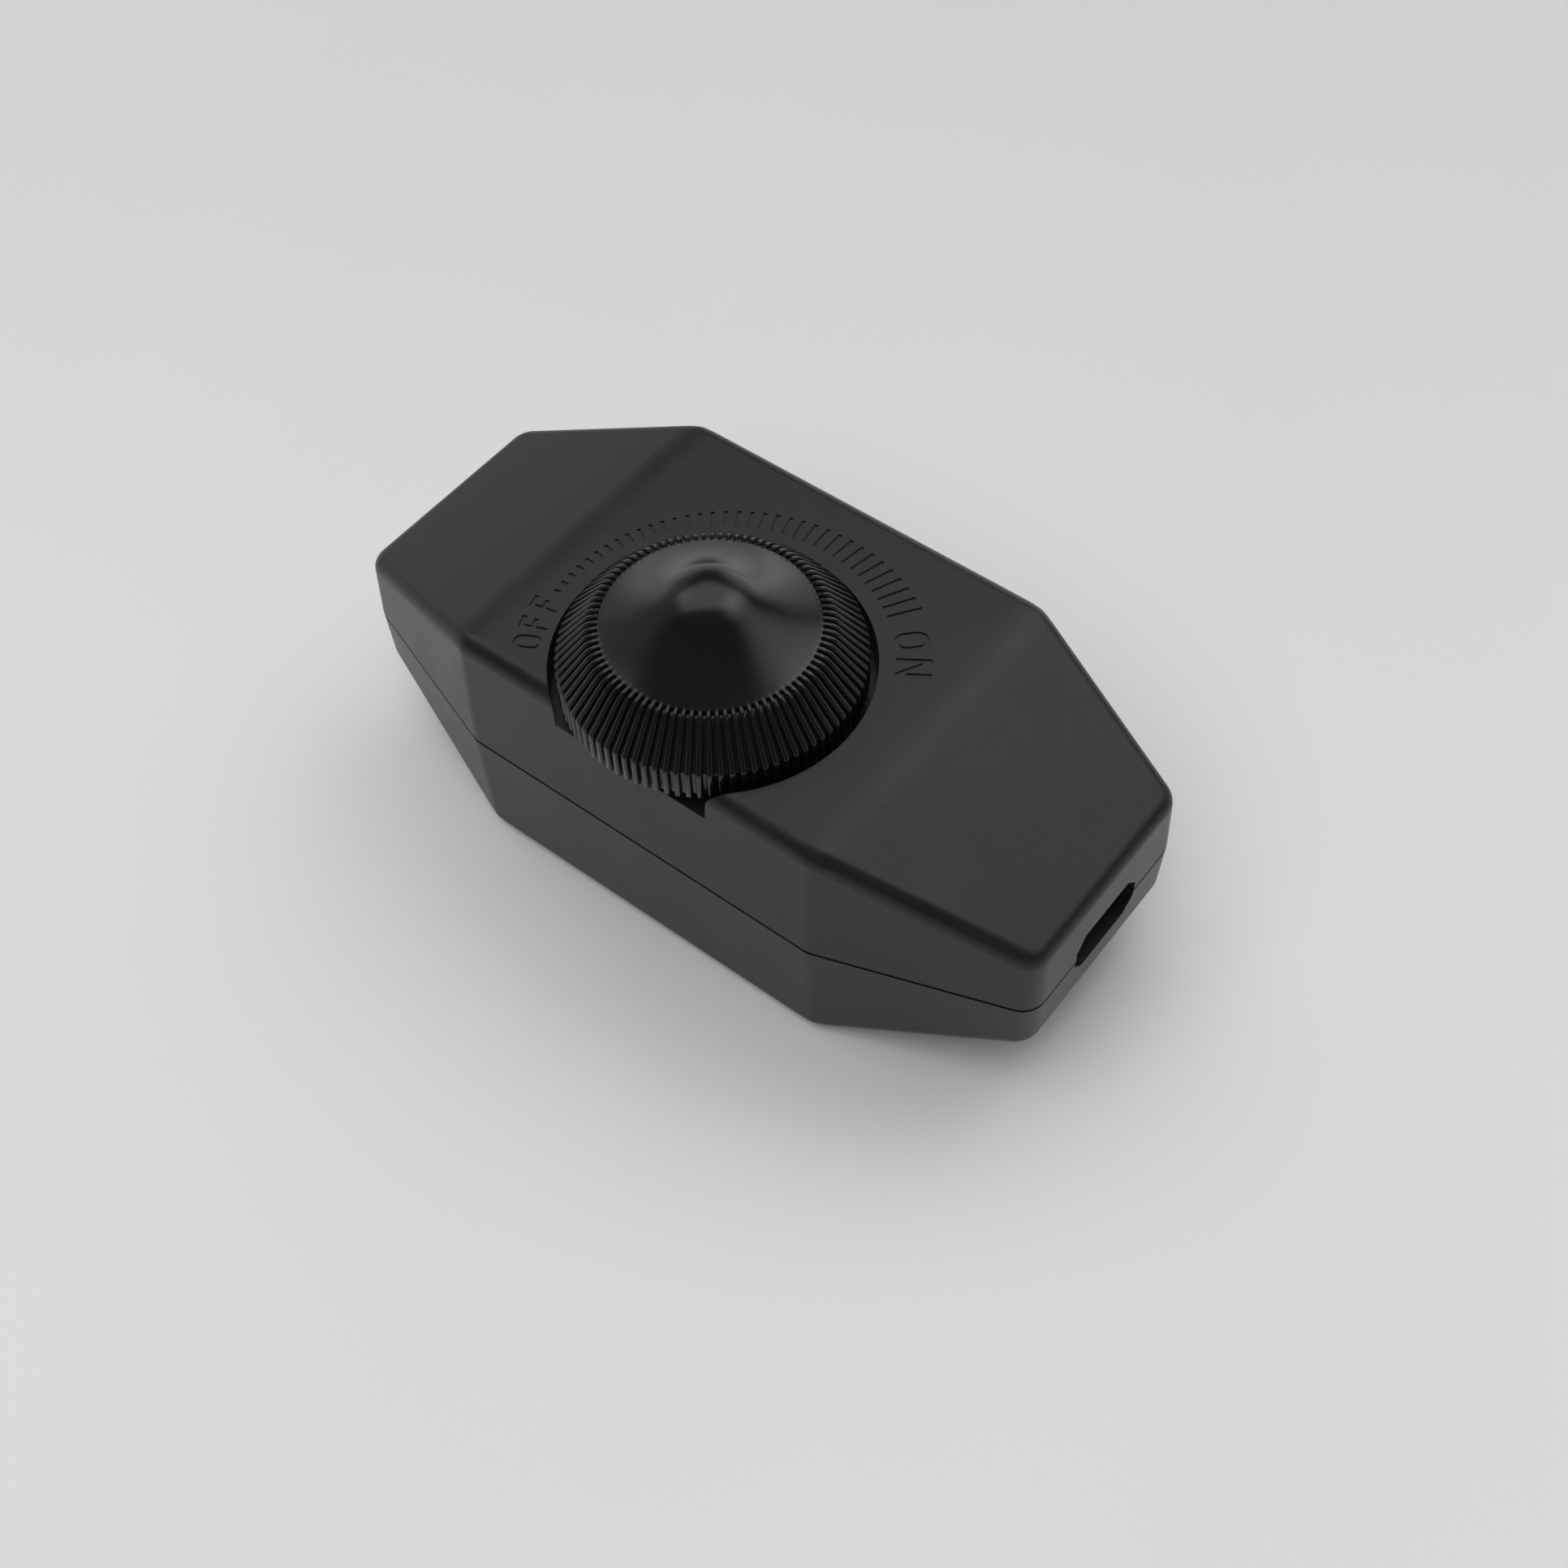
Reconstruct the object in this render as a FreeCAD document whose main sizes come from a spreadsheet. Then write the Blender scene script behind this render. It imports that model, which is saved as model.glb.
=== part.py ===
"""Rotary cord dimmer: two moulded shells, a knurled thumbwheel and the works inside.

Millimetres. The origin is the middle of the flat underside, +Z is up, +X runs along the cord
towards the lamp, and -Y is the side where the thumbwheel stands out of the housing.
"""

import FreeCAD
import Part
import Sketcher
import math
import os
from types import SimpleNamespace

SIZES = {
    # Housing
    "body_length": 80.0,
    "body_width": 37.0,
    "end_width": 23.4,
    "straight_length": 40.4,
    "flat_length": 40.2,
    "parting_height": 14.6,
    "cover_height": 14.2,
    "cover_end_height": 7.0,
    "base_end_height": 6.4,
    "wall": 2.0,
    "draft_angle": 2.1,
    "corner_round": 2.5,
    "fold_round": 10.0,
    "edge_round": 1.6,
    "groove_height": 0.35,
    "groove_depth": 0.7,
    "lip_height": 1.6,
    "lip_thickness": 0.8,
    "lip_clearance": 0.1,
    # Cord entries and clamps
    "slot_width": 9.7,
    "slot_height": 5.0,
    "slot_chamfer": 1.4,
    "clamp_inset": 6.0,
    "clamp_width": 4.4,
    "clamp_thickness": 2.2,
    "clamp_lift": 0.1,
    "clamp_post_radius": 2.3,
    "clamp_post_gap": 0.25,
    "clamp_screw_radius": 1.1,
    "clamp_screw_head": 2.0,
    "clamp_bite": 6.0,
    "clamp_rib_width": 1.2,
    "clamp_rib_length": 7.8,
    "clamp_rib_height": 1.1,
    "saddle_width": 2.4,
    # Housing screws
    "post_inset": 12.0,
    "post_offset": 11.0,
    "post_radius": 3.7,
    "screw_radius": 1.45,
    "screw_head_radius": 2.5,
    "screw_head_height": 1.8,
    "screw_head_clearance": 0.2,
    "small_head_height": 1.4,
    "screw_seat": 7.4,
    "screw_bite": 6.0,
    "drive_width": 0.6,
    "drive_depth": 0.8,
    # Thumbwheel
    "knob_radius": 14.3,
    "knob_overhang": 1.6,
    "rim_stand": 1.4,
    "rim_height": 3.25,
    "ring_radius": 10.05,
    "ring_rise": 3.85,
    "ring_round": 2.0,
    "cone_angle": 49.0,
    "bell_rise": 4.55,
    "bell_angle": 36.0,
    "bell_hollow": 30.4,
    "tip_round": 6.0,
    "tip_flat": 0.5,
    "knob_wall": 1.8,
    "hub_radius": 5.0,
    "knurl_count": 90,
    "knurl_depth": 0.45,
    "knurl_width": 0.4,
    "well_gap": 0.8,
    "well_clearance": 1.75,
    "well_floor": 1.6,
    # Engraved scale
    "scale_depth": 0.15,
    "scale_gap": 1.6,
    "tick_count": 35,
    "tick_step_angle": 3.9,
    "tick_last_angle": 54.6,
    "tick_width": 0.4,
    "tick_long": 3.4,
    "tick_short": 0.6,
    "letter_stroke": 0.45,
    "on_height": 3.3,
    "on_angle": 43.8,
    "on_step_angle": 10.0,
    "on_rise": 1.55,
    "off_height": 2.8,
    "off_angle": 209.5,
    "off_step_angle": 8.1,
    "off_rise": 0.5,
    # Circuit board
    "board_stand": 3.4,
    "board_thickness": 1.6,
    "board_gap": 0.8,
    "board_side_gap": 2.2,
    "board_post_radius": 2.2,
    "board_post_inset": 2.6,
    "board_screw_radius": 1.0,
    "board_screw_head": 1.9,
    "lead_radius": 0.35,
    "lead_tail": 1.2,
    "lead_clearance": 0.1,
    # Potentiometer
    "shaft_radius": 3.0,
    "shaft_flat": 1.6,
    "shaft_end_gap": 0.4,
    "shaft_running_gap": 0.05,
    "shaft_hole_gap": 0.6,
    "pot_stand": 0.6,
    "switch_radius": 7.4,
    "switch_height": 5.0,
    "wafer_thickness": 1.2,
    "wafer_tab_width": 13.0,
    "wafer_tab_reach": 1.6,
    "can_radius": 8.0,
    "can_height": 5.5,
    "can_wall": 0.5,
    "bushing_radius": 4.2,
    "bushing_flange_radius": 5.6,
    "bushing_flange": 0.8,
    "bushing_gap": 0.7,
    "rotor_radius": 6.2,
    "rotor_height": 1.8,
    "rotor_gap": 1.2,
    "wiper_width": 1.6,
    "wiper_thickness": 0.4,
    "lug_pitch": 5.0,
    # Components on the board
    "sink_width": 18.0,
    "sink_height": 14.0,
    "sink_thickness": 1.5,
    "sink_edge_gap": 0.5,
    "sink_centre": 5.0,
    "tab_width": 10.0,
    "tab_height": 12.5,
    "tab_thickness": 1.3,
    "tab_hole_drop": 2.9,
    "triac_stand": 1.6,
    "triac_case_height": 6.6,
    "triac_case_thickness": 3.0,
    "triac_leg_pitch": 2.54,
    "triac_screw_radius": 1.4,
    "triac_screw_head": 2.5,
    "filter_length": 15.0,
    "filter_width": 6.0,
    "filter_height": 12.0,
    "filter_edge_gap": 2.5,
    "filter_end_gap": 1.4,
    "core_radius": 3.2,
    "core_thickness": 1.2,
    "coil_turns": 14,
    "coil_angle": 300.0,
    "coil_wire": 0.25,
    "choke_stand": 0.3,
    "choke_edge_gap": 0.3,
    "timing_length": 6.0,
    "timing_width": 2.0,
    "timing_height": 5.5,
    "part_gap": 0.6,
    "resistor_radius": 1.2,
    "resistor_length": 6.3,
    "resistor_span": 10.0,
    "resistor_end_gap": 10.5,
    "resistor_edge_gap": 0.5,
    "fuse_radius": 1.1,
    "fuse_length": 5.0,
    "fuse_span": 7.6,
    "diac_radius": 0.9,
    "diac_length": 4.0,
    "diac_span": 7.6,
    # Wire terminals
    "terminal_depth": 7.5,
    "terminal_width": 10.0,
    "terminal_height": 10.0,
    "terminal_end_gap": 0.6,
    "terminal_centre": 3.5,
    "terminal_pitch": 5.0,
    "cage_width": 3.6,
    "cage_depth": 4.6,
    "cage_height": 5.6,
    "cage_gap": 0.1,
    "cage_floor": 1.4,
    "wire_hole_radius": 1.3,
    "terminal_screw_radius": 1.2,
    "terminal_screw_head": 1.7,
    "terminal_screw_head_height": 1.4,
}

OVERSHOOT = 2.0
MARGIN = 10.0
ENDS = (-1, 1)
NEAR = 1e-6
STEEP = 0.4
O_WIDTH = 0.64
F_WIDTH = 0.43
F_MIDDLE_BAR = 0.9
N_WIDTH = 0.52
LEAD_SPREAD = 1 / 3

doc = FreeCAD.newDocument("dimmer")
sheet = doc.addObject("Spreadsheet::Sheet", "sizes")
for row, (alias, number) in enumerate(SIZES.items(), start=1):
    sheet.set(f"A{row}", alias)
    sheet.set(f"B{row}", str(number))
    sheet.setAlias(f"B{row}", alias)
doc.recompute()


class Size:
    """A measure that is known as a number now and as a formula over the sheet's cells."""

    def __init__(self, number, formula=None):
        self.number = float(number)
        self.formula = formula or repr(float(number))

    def __add__(self, other):
        other = as_size(other)
        return Size(self.number + other.number, f"({self.formula} + {other.formula})")

    def __sub__(self, other):
        other = as_size(other)
        return Size(self.number - other.number, f"({self.formula} - {other.formula})")

    def __rsub__(self, other):
        return as_size(other) - self

    def __mul__(self, other):
        other = as_size(other)
        return Size(self.number * other.number, f"({self.formula} * {other.formula})")

    def __truediv__(self, other):
        other = as_size(other)
        return Size(self.number / other.number, f"({self.formula} / {other.formula})")

    def __neg__(self):
        return Size(-self.number, f"(0 - {self.formula})")

    __radd__ = __add__
    __rmul__ = __mul__


def as_size(measure):
    """Take a plain number or a Size as a Size."""
    return measure if isinstance(measure, Size) else Size(measure)


def root(size):
    return Size(math.sqrt(size.number), f"sqrt({size.formula})")


def sine(angle):
    angle = as_size(angle)
    return Size(math.sin(math.radians(angle.number)), f"sin({angle.formula} * 1 deg)")


def cosine(angle):
    angle = as_size(angle)
    return Size(math.cos(math.radians(angle.number)), f"cos({angle.formula} * 1 deg)")


def bind(item, prop, size):
    """Tie one property of an object to a formula."""
    item.setExpression(prop, as_size(size).formula)


S = SimpleNamespace(**{alias: Size(sheet.get(alias), f"sizes.{alias}") for alias in SIZES})


# Basic solids and how they are combined

def place(item, at, axis=(0, 0, 1), angle=0):
    """Put an object at a point, turned about an axis by an angle in degrees."""
    turn = as_size(angle)
    item.Placement = FreeCAD.Placement(FreeCAD.Vector(), FreeCAD.Rotation(FreeCAD.Vector(*axis), turn.number))
    if isinstance(angle, Size):
        bind(item, "Placement.Rotation.Angle", angle)
    for letter, size in zip("xyz", at):
        bind(item, f"Placement.Base.{letter}", size)
    return item


def block(name, size, foot):
    """Box of the given size whose bottom face is centred on the point foot."""
    item = doc.addObject("Part::Box", name)
    for prop, length in zip(("Length", "Width", "Height"), size):
        bind(item, prop, length)
    corner = (as_size(foot[0]) - as_size(size[0]) / 2, as_size(foot[1]) - as_size(size[1]) / 2, foot[2])
    return place(item, corner)


def rod(name, radius, length, start, along="z"):
    """Cylinder from the point start, running along x, y or z."""
    item = doc.addObject("Part::Cylinder", name)
    bind(item, "Radius", radius)
    bind(item, "Height", length)
    axis, angle = {"x": ((0, 1, 0), 90), "y": ((1, 0, 0), -90), "z": ((0, 0, 1), 0)}[along]
    return place(item, start, axis, angle)


def joined(name, *items):
    item = doc.addObject("Part::MultiFuse", name)
    item.Shapes = list(items)
    return item


def shared(name, *items):
    item = doc.addObject("Part::MultiCommon", name)
    item.Shapes = list(items)
    return item


def less(name, base, *tools):
    """Base with every tool cut away."""
    item = doc.addObject("Part::Cut", name)
    item.Base = base
    item.Tool = tools[0] if len(tools) == 1 else joined(f"{name}_tools", *tools)
    return item


def several(name, *items):
    """Separate solids kept as one group."""
    item = doc.addObject("Part::Compound", name)
    item.Links = list(items)
    return item


# Sketched bodies

def new_body(name):
    return doc.addObject("PartDesign::Body", name)


def origin_feature(body, role):
    return next(item for item in body.Origin.OriginFeatures if item.Role == role)


def arc_between(start, end, bulge):
    """Arc from start to end whose radius is abs(bulge), bulging left of the chord if positive."""
    chord = end - start
    radius = abs(bulge)
    sagitta = radius - math.sqrt(radius ** 2 - (chord.Length / 2) ** 2)
    left = FreeCAD.Vector(-chord.y, chord.x, 0).normalize()
    middle = (start + end) / 2 + left * math.copysign(sagitta, bulge)
    return Part.Arc(start, middle, end)


def outline_sketch(body, name, role, corners, lift=0, bulges=None):
    """Closed outline through corners, with arcs of the given radius after the numbered corners."""
    bulges = bulges or {}
    sketch = body.newObject("Sketcher::SketchObject", name)
    sketch.AttachmentSupport = [(origin_feature(body, role), "")]
    sketch.MapMode = "FlatFace"
    bind(sketch, "AttachmentOffset.Base.z", lift)
    corners = [(as_size(x), as_size(y)) for x, y in corners]
    points = [FreeCAD.Vector(x.number, y.number, 0) for x, y in corners]
    count = len(points)
    ends = []
    for index, start in enumerate(points):
        end = points[(index + 1) % count]
        if index in bulges:
            side, radius = bulges[index]
            sketch.addGeometry(arc_between(start, end, side * radius.number))
            made = sketch.getPoint(index, 1)
            ends.append((1, 2) if made.distanceToPoint(start) < made.distanceToPoint(end) else (2, 1))
            spot = sketch.addConstraint(Sketcher.Constraint("Radius", index, radius.number))
            bind(sketch, f"Constraints[{spot}]", radius)
        else:
            sketch.addGeometry(Part.LineSegment(start, end))
            ends.append((1, 2))
    for index, (x, y) in enumerate(corners):
        following = (index + 1) % count
        meeting = (index, ends[index][1], following, ends[following][0])
        sketch.addConstraint(Sketcher.Constraint("Coincident", *meeting))
        for kind, size in (("DistanceX", x), ("DistanceY", y)):
            spot = sketch.addConstraint(Sketcher.Constraint(kind, -1, 1, index, ends[index][0], size.number))
            bind(sketch, f"Constraints[{spot}]", size)
    return sketch


def pad(body, name, sketch, length, downwards=False, midplane=False):
    item = body.newObject("PartDesign::Pad", name)
    item.Profile = sketch
    bind(item, "Length", length)
    item.Reversed = downwards
    item.Midplane = midplane
    return item


def lean_walls(body, name, walls, reverse):
    """Draft the upright faces of a pad inwards from the parting plane."""
    doc.recompute()
    faces = list(enumerate(walls.Shape.Faces, start=1))
    upright = [f"Face{number}" for number, face in faces if is_wall(face_normal(face))]
    neutral = [f"Face{number}" for number, face in faces if abs(face.CenterOfMass.z - parting.number) < NEAR]
    item = body.newObject("PartDesign::Draft", name)
    item.Base = (walls, upright)
    item.NeutralPlane = (walls, neutral)
    item.Reversed = reverse
    bind(item, "Angle", S.draft_angle)


def is_wall(normal):
    return abs(normal.z) < STEEP


def edges_between(shape, first_kind, second_kind):
    """Names of the edges where a face of one kind meets a face of the other kind."""
    names = []
    for number, edge in enumerate(shape.Edges, start=1):
        faces = shape.ancestorsOfType(edge, Part.Face)
        if len(faces) != 2:
            continue
        normals = [face_normal(face) for face in faces]
        if any(first_kind(a) and second_kind(b) for a, b in (normals, normals[::-1])):
            names.append(f"Edge{number}")
    return names


def face_normal(face):
    low_u, high_u, low_v, high_v = face.ParameterRange
    return face.normalAt((low_u + high_u) / 2, (low_v + high_v) / 2)


def round_edges(body, name, radius, first_kind, second_kind):
    doc.recompute()
    base = body.Tip
    item = body.newObject("PartDesign::Fillet", name)
    item.Base = (base, edges_between(base.Shape, first_kind, second_kind))
    bind(item, "Radius", radius)


# Levels and places that several pieces share

half_length = S.body_length / 2
half_width = S.body_width / 2
half_end = S.end_width / 2
half_straight = S.straight_length / 2
half_flat = S.flat_length / 2
parting = S.parting_height
top = parting + S.cover_height
axis_y = S.knob_radius - S.knob_overhang - half_width
rim_top = top + S.rim_stand
knob_bottom = rim_top - S.rim_height
ring_level = rim_top + S.ring_rise
well_radius = S.knob_radius + S.well_gap
well_level = knob_bottom - S.well_clearance
board_bottom = S.wall + S.board_stand
board_top = board_bottom + S.board_thickness
post_x = half_length - S.post_inset
board_half_length = post_x - S.post_radius - S.board_gap
board_half_width = half_width - S.wall - S.board_side_gap
clamp_x = half_length - S.clamp_inset
clamp_seat = parting + S.slot_height / 2 + S.clamp_lift
clamp_screw_y = S.slot_width / 2 + S.clamp_post_gap + S.clamp_post_radius


# Housing

def plan(inset):
    """Eight corners of the housing's plan, moved inwards by inset on every side."""
    inset = as_size(inset)
    run = half_length - half_straight
    drop = half_width - half_end
    slant = root(run * run + drop * drop)
    across = drop / slant
    along = run / slant
    long_x = half_length - inset
    wide_y = half_width - inset
    end_y = half_end - inset * (1 - across) / along if inset.number else half_end
    fold_x = half_straight - inset * (1 - along) / across if inset.number else half_straight
    quarter = ((long_x, end_y), (fold_x, wide_y))
    right_back = list(quarter)
    left_back = [(-x, y) for x, y in quarter[::-1]]
    left_front = [(-x, -y) for x, y in quarter]
    right_front = [(x, -y) for x, y in quarter[::-1]]
    return right_back + left_back + left_front + right_front


def plan_slab(name, inset, level, height):
    """Straight-sided slab of the housing's plan."""
    body = new_body(name)
    pad(body, f"{name}_pad", outline_sketch(body, f"{name}_plan", "XY_Plane", plan(inset), level), height)
    return body


def plan_ring(name, outer_inset, inner_inset, level, height):
    """Band that follows the housing's plan between two insets."""
    outer = plan_slab(f"{name}_outer", outer_inset, level, height)
    return less(name, outer, plan_slab(f"{name}_inner", inner_inset, level, height))


def shell_form(name, inset, upwards):
    """One half of the housing as a solid: drafted walls and a face that slopes to both ends."""
    sign = 1 if upwards else -1
    flat_height = S.cover_height if upwards else S.parting_height
    end_height = S.cover_end_height if upwards else S.base_end_height
    inset = as_size(inset)
    flat_level = parting + sign * (flat_height - inset)
    fall = (flat_height - end_height) / (half_length - half_flat)
    far_x = half_length + OVERSHOOT
    far_level = flat_level - sign * fall * (far_x - half_flat)
    beyond = flat_level + sign * MARGIN
    body = new_body(name)
    sketch = outline_sketch(body, f"{name}_plan", "XY_Plane", plan(inset), parting)
    walls = pad(body, f"{name}_walls", sketch, flat_height + OVERSHOOT, downwards=not upwards)
    lean_walls(body, f"{name}_draft", walls, reverse=not upwards)
    profile = [(-far_x, beyond), (-far_x, far_level), (-half_flat, flat_level),
               (half_flat, flat_level), (far_x, far_level), (far_x, beyond)]
    trim = body.newObject("PartDesign::Pocket", f"{name}_slopes")
    trim.Profile = outline_sketch(body, f"{name}_profile", "XZ_Plane", profile)
    trim.Midplane = True
    bind(trim, "Length", S.body_width + MARGIN)
    return body


def rounded_form(name, upwards):
    """Outside of one half of the housing, with its corners, folds and rim rounded."""
    sign = 1 if upwards else -1
    body = shell_form(name, 0, upwards)

    def is_face(normal):
        return normal.z * sign > STEEP

    round_edges(body, f"{name}_corners", S.corner_round, is_wall, is_wall)
    round_edges(body, f"{name}_folds", S.fold_round, is_face, is_face)
    round_edges(body, f"{name}_rim", S.edge_round, is_wall, is_face)
    doc.recompute()
    return body


def cord_way():
    """Flat way for the cord through both end walls, with bevelled corners."""
    half_y = S.slot_width / 2
    half_z = S.slot_height / 2
    quarter = ((half_y, half_z - S.slot_chamfer), (half_y - S.slot_chamfer, half_z))
    corners = list(quarter)
    corners += [(-y, z) for y, z in quarter[::-1]]
    corners += [(-y, -z) for y, z in quarter]
    corners += [(y, -z) for y, z in quarter[::-1]]
    corners = [(y, parting + z) for y, z in corners]
    body = new_body("cord_way")
    sketch = outline_sketch(body, "cord_way_section", "YZ_Plane", corners)
    pad(body, "cord_way_pad", sketch, S.body_length + MARGIN, midplane=True)
    return body


def corner_places():
    """Where the four housing screws stand."""
    return [(end * post_x, side * S.post_offset) for end in ENDS for side in ENDS]


def clamp_places():
    """Where the four cord clamp screws stand."""
    return [(end * clamp_x, side * clamp_screw_y) for end in ENDS for side in ENDS]


def board_places():
    """Where the board rests: two screwed posts in front, two plain ones behind."""
    x = board_half_length - S.board_post_inset
    y = board_half_width - S.board_post_inset
    return [(end * x, side * y) for side in ENDS for end in ENDS]


def rods(name, places, radius, level, length):
    """Equal upright rods at several places."""
    return [rod(f"{name}_{number}", radius, length, (x, y, level)) for number, (x, y) in enumerate(places)]


def make_cover():
    form = rounded_form("cover_form", True)
    shell = less("cover_shell", form, shell_form("cover_cavity", S.wall, True))
    rebate = plan_ring("cover_rebate", S.wall - S.lip_thickness - S.lip_clearance, S.wall + S.lip_clearance,
                       parting, S.lip_height + S.lip_clearance)
    under = well_level - S.well_floor
    cup = rod("well_cup", well_radius + S.wall, top - under, (0, axis_y, under))
    posts = rods("cover_post", corner_places(), S.post_radius, parting, S.cover_height)
    inside = shared("cover_inside", form, joined("cover_fittings", cup, *posts))
    well = rod("well", well_radius, top - well_level + MARGIN, (0, axis_y, well_level))
    shaft_hole = rod("shaft_hole", S.shaft_radius + S.shaft_hole_gap, S.well_floor + OVERSHOOT,
                     (0, axis_y, under - OVERSHOOT / 2))
    pilots = rods("cover_pilot", corner_places(), S.screw_radius, parting, S.screw_bite)
    filled = joined("cover_filled", shell, inside)
    return less("top_cover", filled, rebate, well, shaft_hole, way, scale_marks(), *pilots)


def make_base():
    form = rounded_form("base_form", False)
    shell = less("base_hollow", form, shell_form("base_cavity", S.wall, False))
    posts = rods("base_post", corner_places(), S.post_radius, 0, parting)
    posts += rods("clamp_post", clamp_places(), S.clamp_post_radius, 0, parting)
    posts += rods("board_post", board_places(), S.board_post_radius, 0, board_bottom)
    saddle_size = (S.saddle_width, S.slot_width, parting - S.slot_height / 2)
    posts += [block(f"saddle_{end}", saddle_size, (end * clamp_x, 0, 0)) for end in ENDS]
    inside = shared("base_inside", form, joined("base_fittings", *posts))
    lip = plan_ring("lip", S.wall - S.lip_thickness, S.wall, parting, S.lip_height)
    stubs = rods("clamp_stub", clamp_places(), S.clamp_post_radius, parting, clamp_seat - parting)
    groove = plan_ring("groove", -OVERSHOOT, S.groove_depth, parting - S.groove_height, S.groove_height)
    bores = rods("base_bore", corner_places(), S.screw_radius, 0, parting)
    seat_radius = S.screw_head_radius + S.screw_head_clearance
    bores += rods("base_seat", corner_places(), seat_radius, 0, S.screw_seat)
    pilot_level = clamp_seat - S.clamp_bite
    bores += rods("clamp_pilot", clamp_places(), S.clamp_screw_radius, pilot_level, S.clamp_bite)
    bores += rods("board_pilot", board_places()[:2], S.board_screw_radius, S.wall, S.board_stand)
    filled = joined("base_filled", shell, inside, lip, *stubs)
    return less("base_shell", filled, groove, way, *bores)


# Engraved scale round the thumbwheel

def scale_mark(name, angle, start, length, turn, width):
    """Engraved stroke: start is (across, out) from the wheel's axis, with out pointing at angle.

    Turn is the stroke's direction, counted from across, which runs clockwise round the wheel.
    """
    across, out = start
    heading = angle - 90 + turn
    x = out * cosine(angle) + across * sine(angle) + width / 2 * sine(heading)
    y = axis_y + out * sine(angle) - across * cosine(angle) - width / 2 * cosine(heading)
    item = doc.addObject("Part::Box", name)
    bind(item, "Length", length)
    bind(item, "Width", width)
    bind(item, "Height", S.scale_depth + OVERSHOOT)
    return place(item, (x, y, top - S.scale_depth), (0, 0, 1), heading)


def oval(name, angle, height, width, out):
    """Upright oval of a letter: a straight middle with round ends."""
    straight = height - width
    middle = scale_mark(f"{name}_middle", angle, (0, out - straight / 2), straight, 90, width)
    ends = []
    for side in ENDS:
        reach = out + side * straight / 2
        centre = (reach * cosine(angle), axis_y + reach * sine(angle), top - S.scale_depth)
        ends.append(rod(f"{name}_end_{side}", width / 2, S.scale_depth + OVERSHOOT, centre))
    return joined(name, middle, *ends)


def letter_o(name, angle, height, out):
    width = O_WIDTH * height
    outer = oval(f"{name}_outer", angle, height, width, out)
    inner = oval(f"{name}_inner", angle, height - S.letter_stroke * 2, width - S.letter_stroke * 2, out)
    return [less(name, outer, inner)]


def letter_f(name, angle, height, out):
    left = -F_WIDTH / 2 * height
    bar = F_WIDTH * height
    strokes = [((left, out - height / 2), height, 90),
               ((left, out + height / 2 - S.letter_stroke / 2), bar, 0),
               ((left, out), bar * F_MIDDLE_BAR, 0)]
    return strokes_at(name, angle, strokes)


def letter_n(name, angle, height, out):
    half = N_WIDTH / 2 * height
    low = out - height / 2
    slope = math.degrees(math.atan2(-1, N_WIDTH))
    strokes = [((-half, low), height, 90), ((half, low), height, 90),
               ((-half, out + height / 2), height * math.hypot(1, N_WIDTH), slope)]
    return strokes_at(name, angle, strokes)


def strokes_at(name, angle, strokes):
    return [scale_mark(f"{name}_{number}", angle, start, length, turn, S.letter_stroke)
            for number, (start, length, turn) in enumerate(strokes)]


def scale_marks():
    """OFF, ticks that grow longer, and ON, read clockwise round the thumbwheel."""
    foot = well_radius + S.scale_gap
    marks = []
    count = int(S.tick_count.number)
    for number in range(count):
        angle = S.tick_last_angle + S.tick_step_angle * number
        length = S.tick_long - (S.tick_long - S.tick_short) * (number / (count - 1))
        marks.append(scale_mark(f"tick_{number}", angle, (0, foot), length, 90, S.tick_width))
    words = (("on", (letter_o, letter_n), S.on_angle, S.on_step_angle, S.on_height, S.on_rise),
             ("off", (letter_o, letter_f, letter_f), S.off_angle, S.off_step_angle, S.off_height, S.off_rise))
    for word, letters, start, pitch, height, rise in words:
        for number, letter in enumerate(letters):
            marks += letter(f"{word}_{number}", start - pitch * number, height, foot + rise)
    return joined("scale_marks", *marks)


# Thumbwheel

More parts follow.
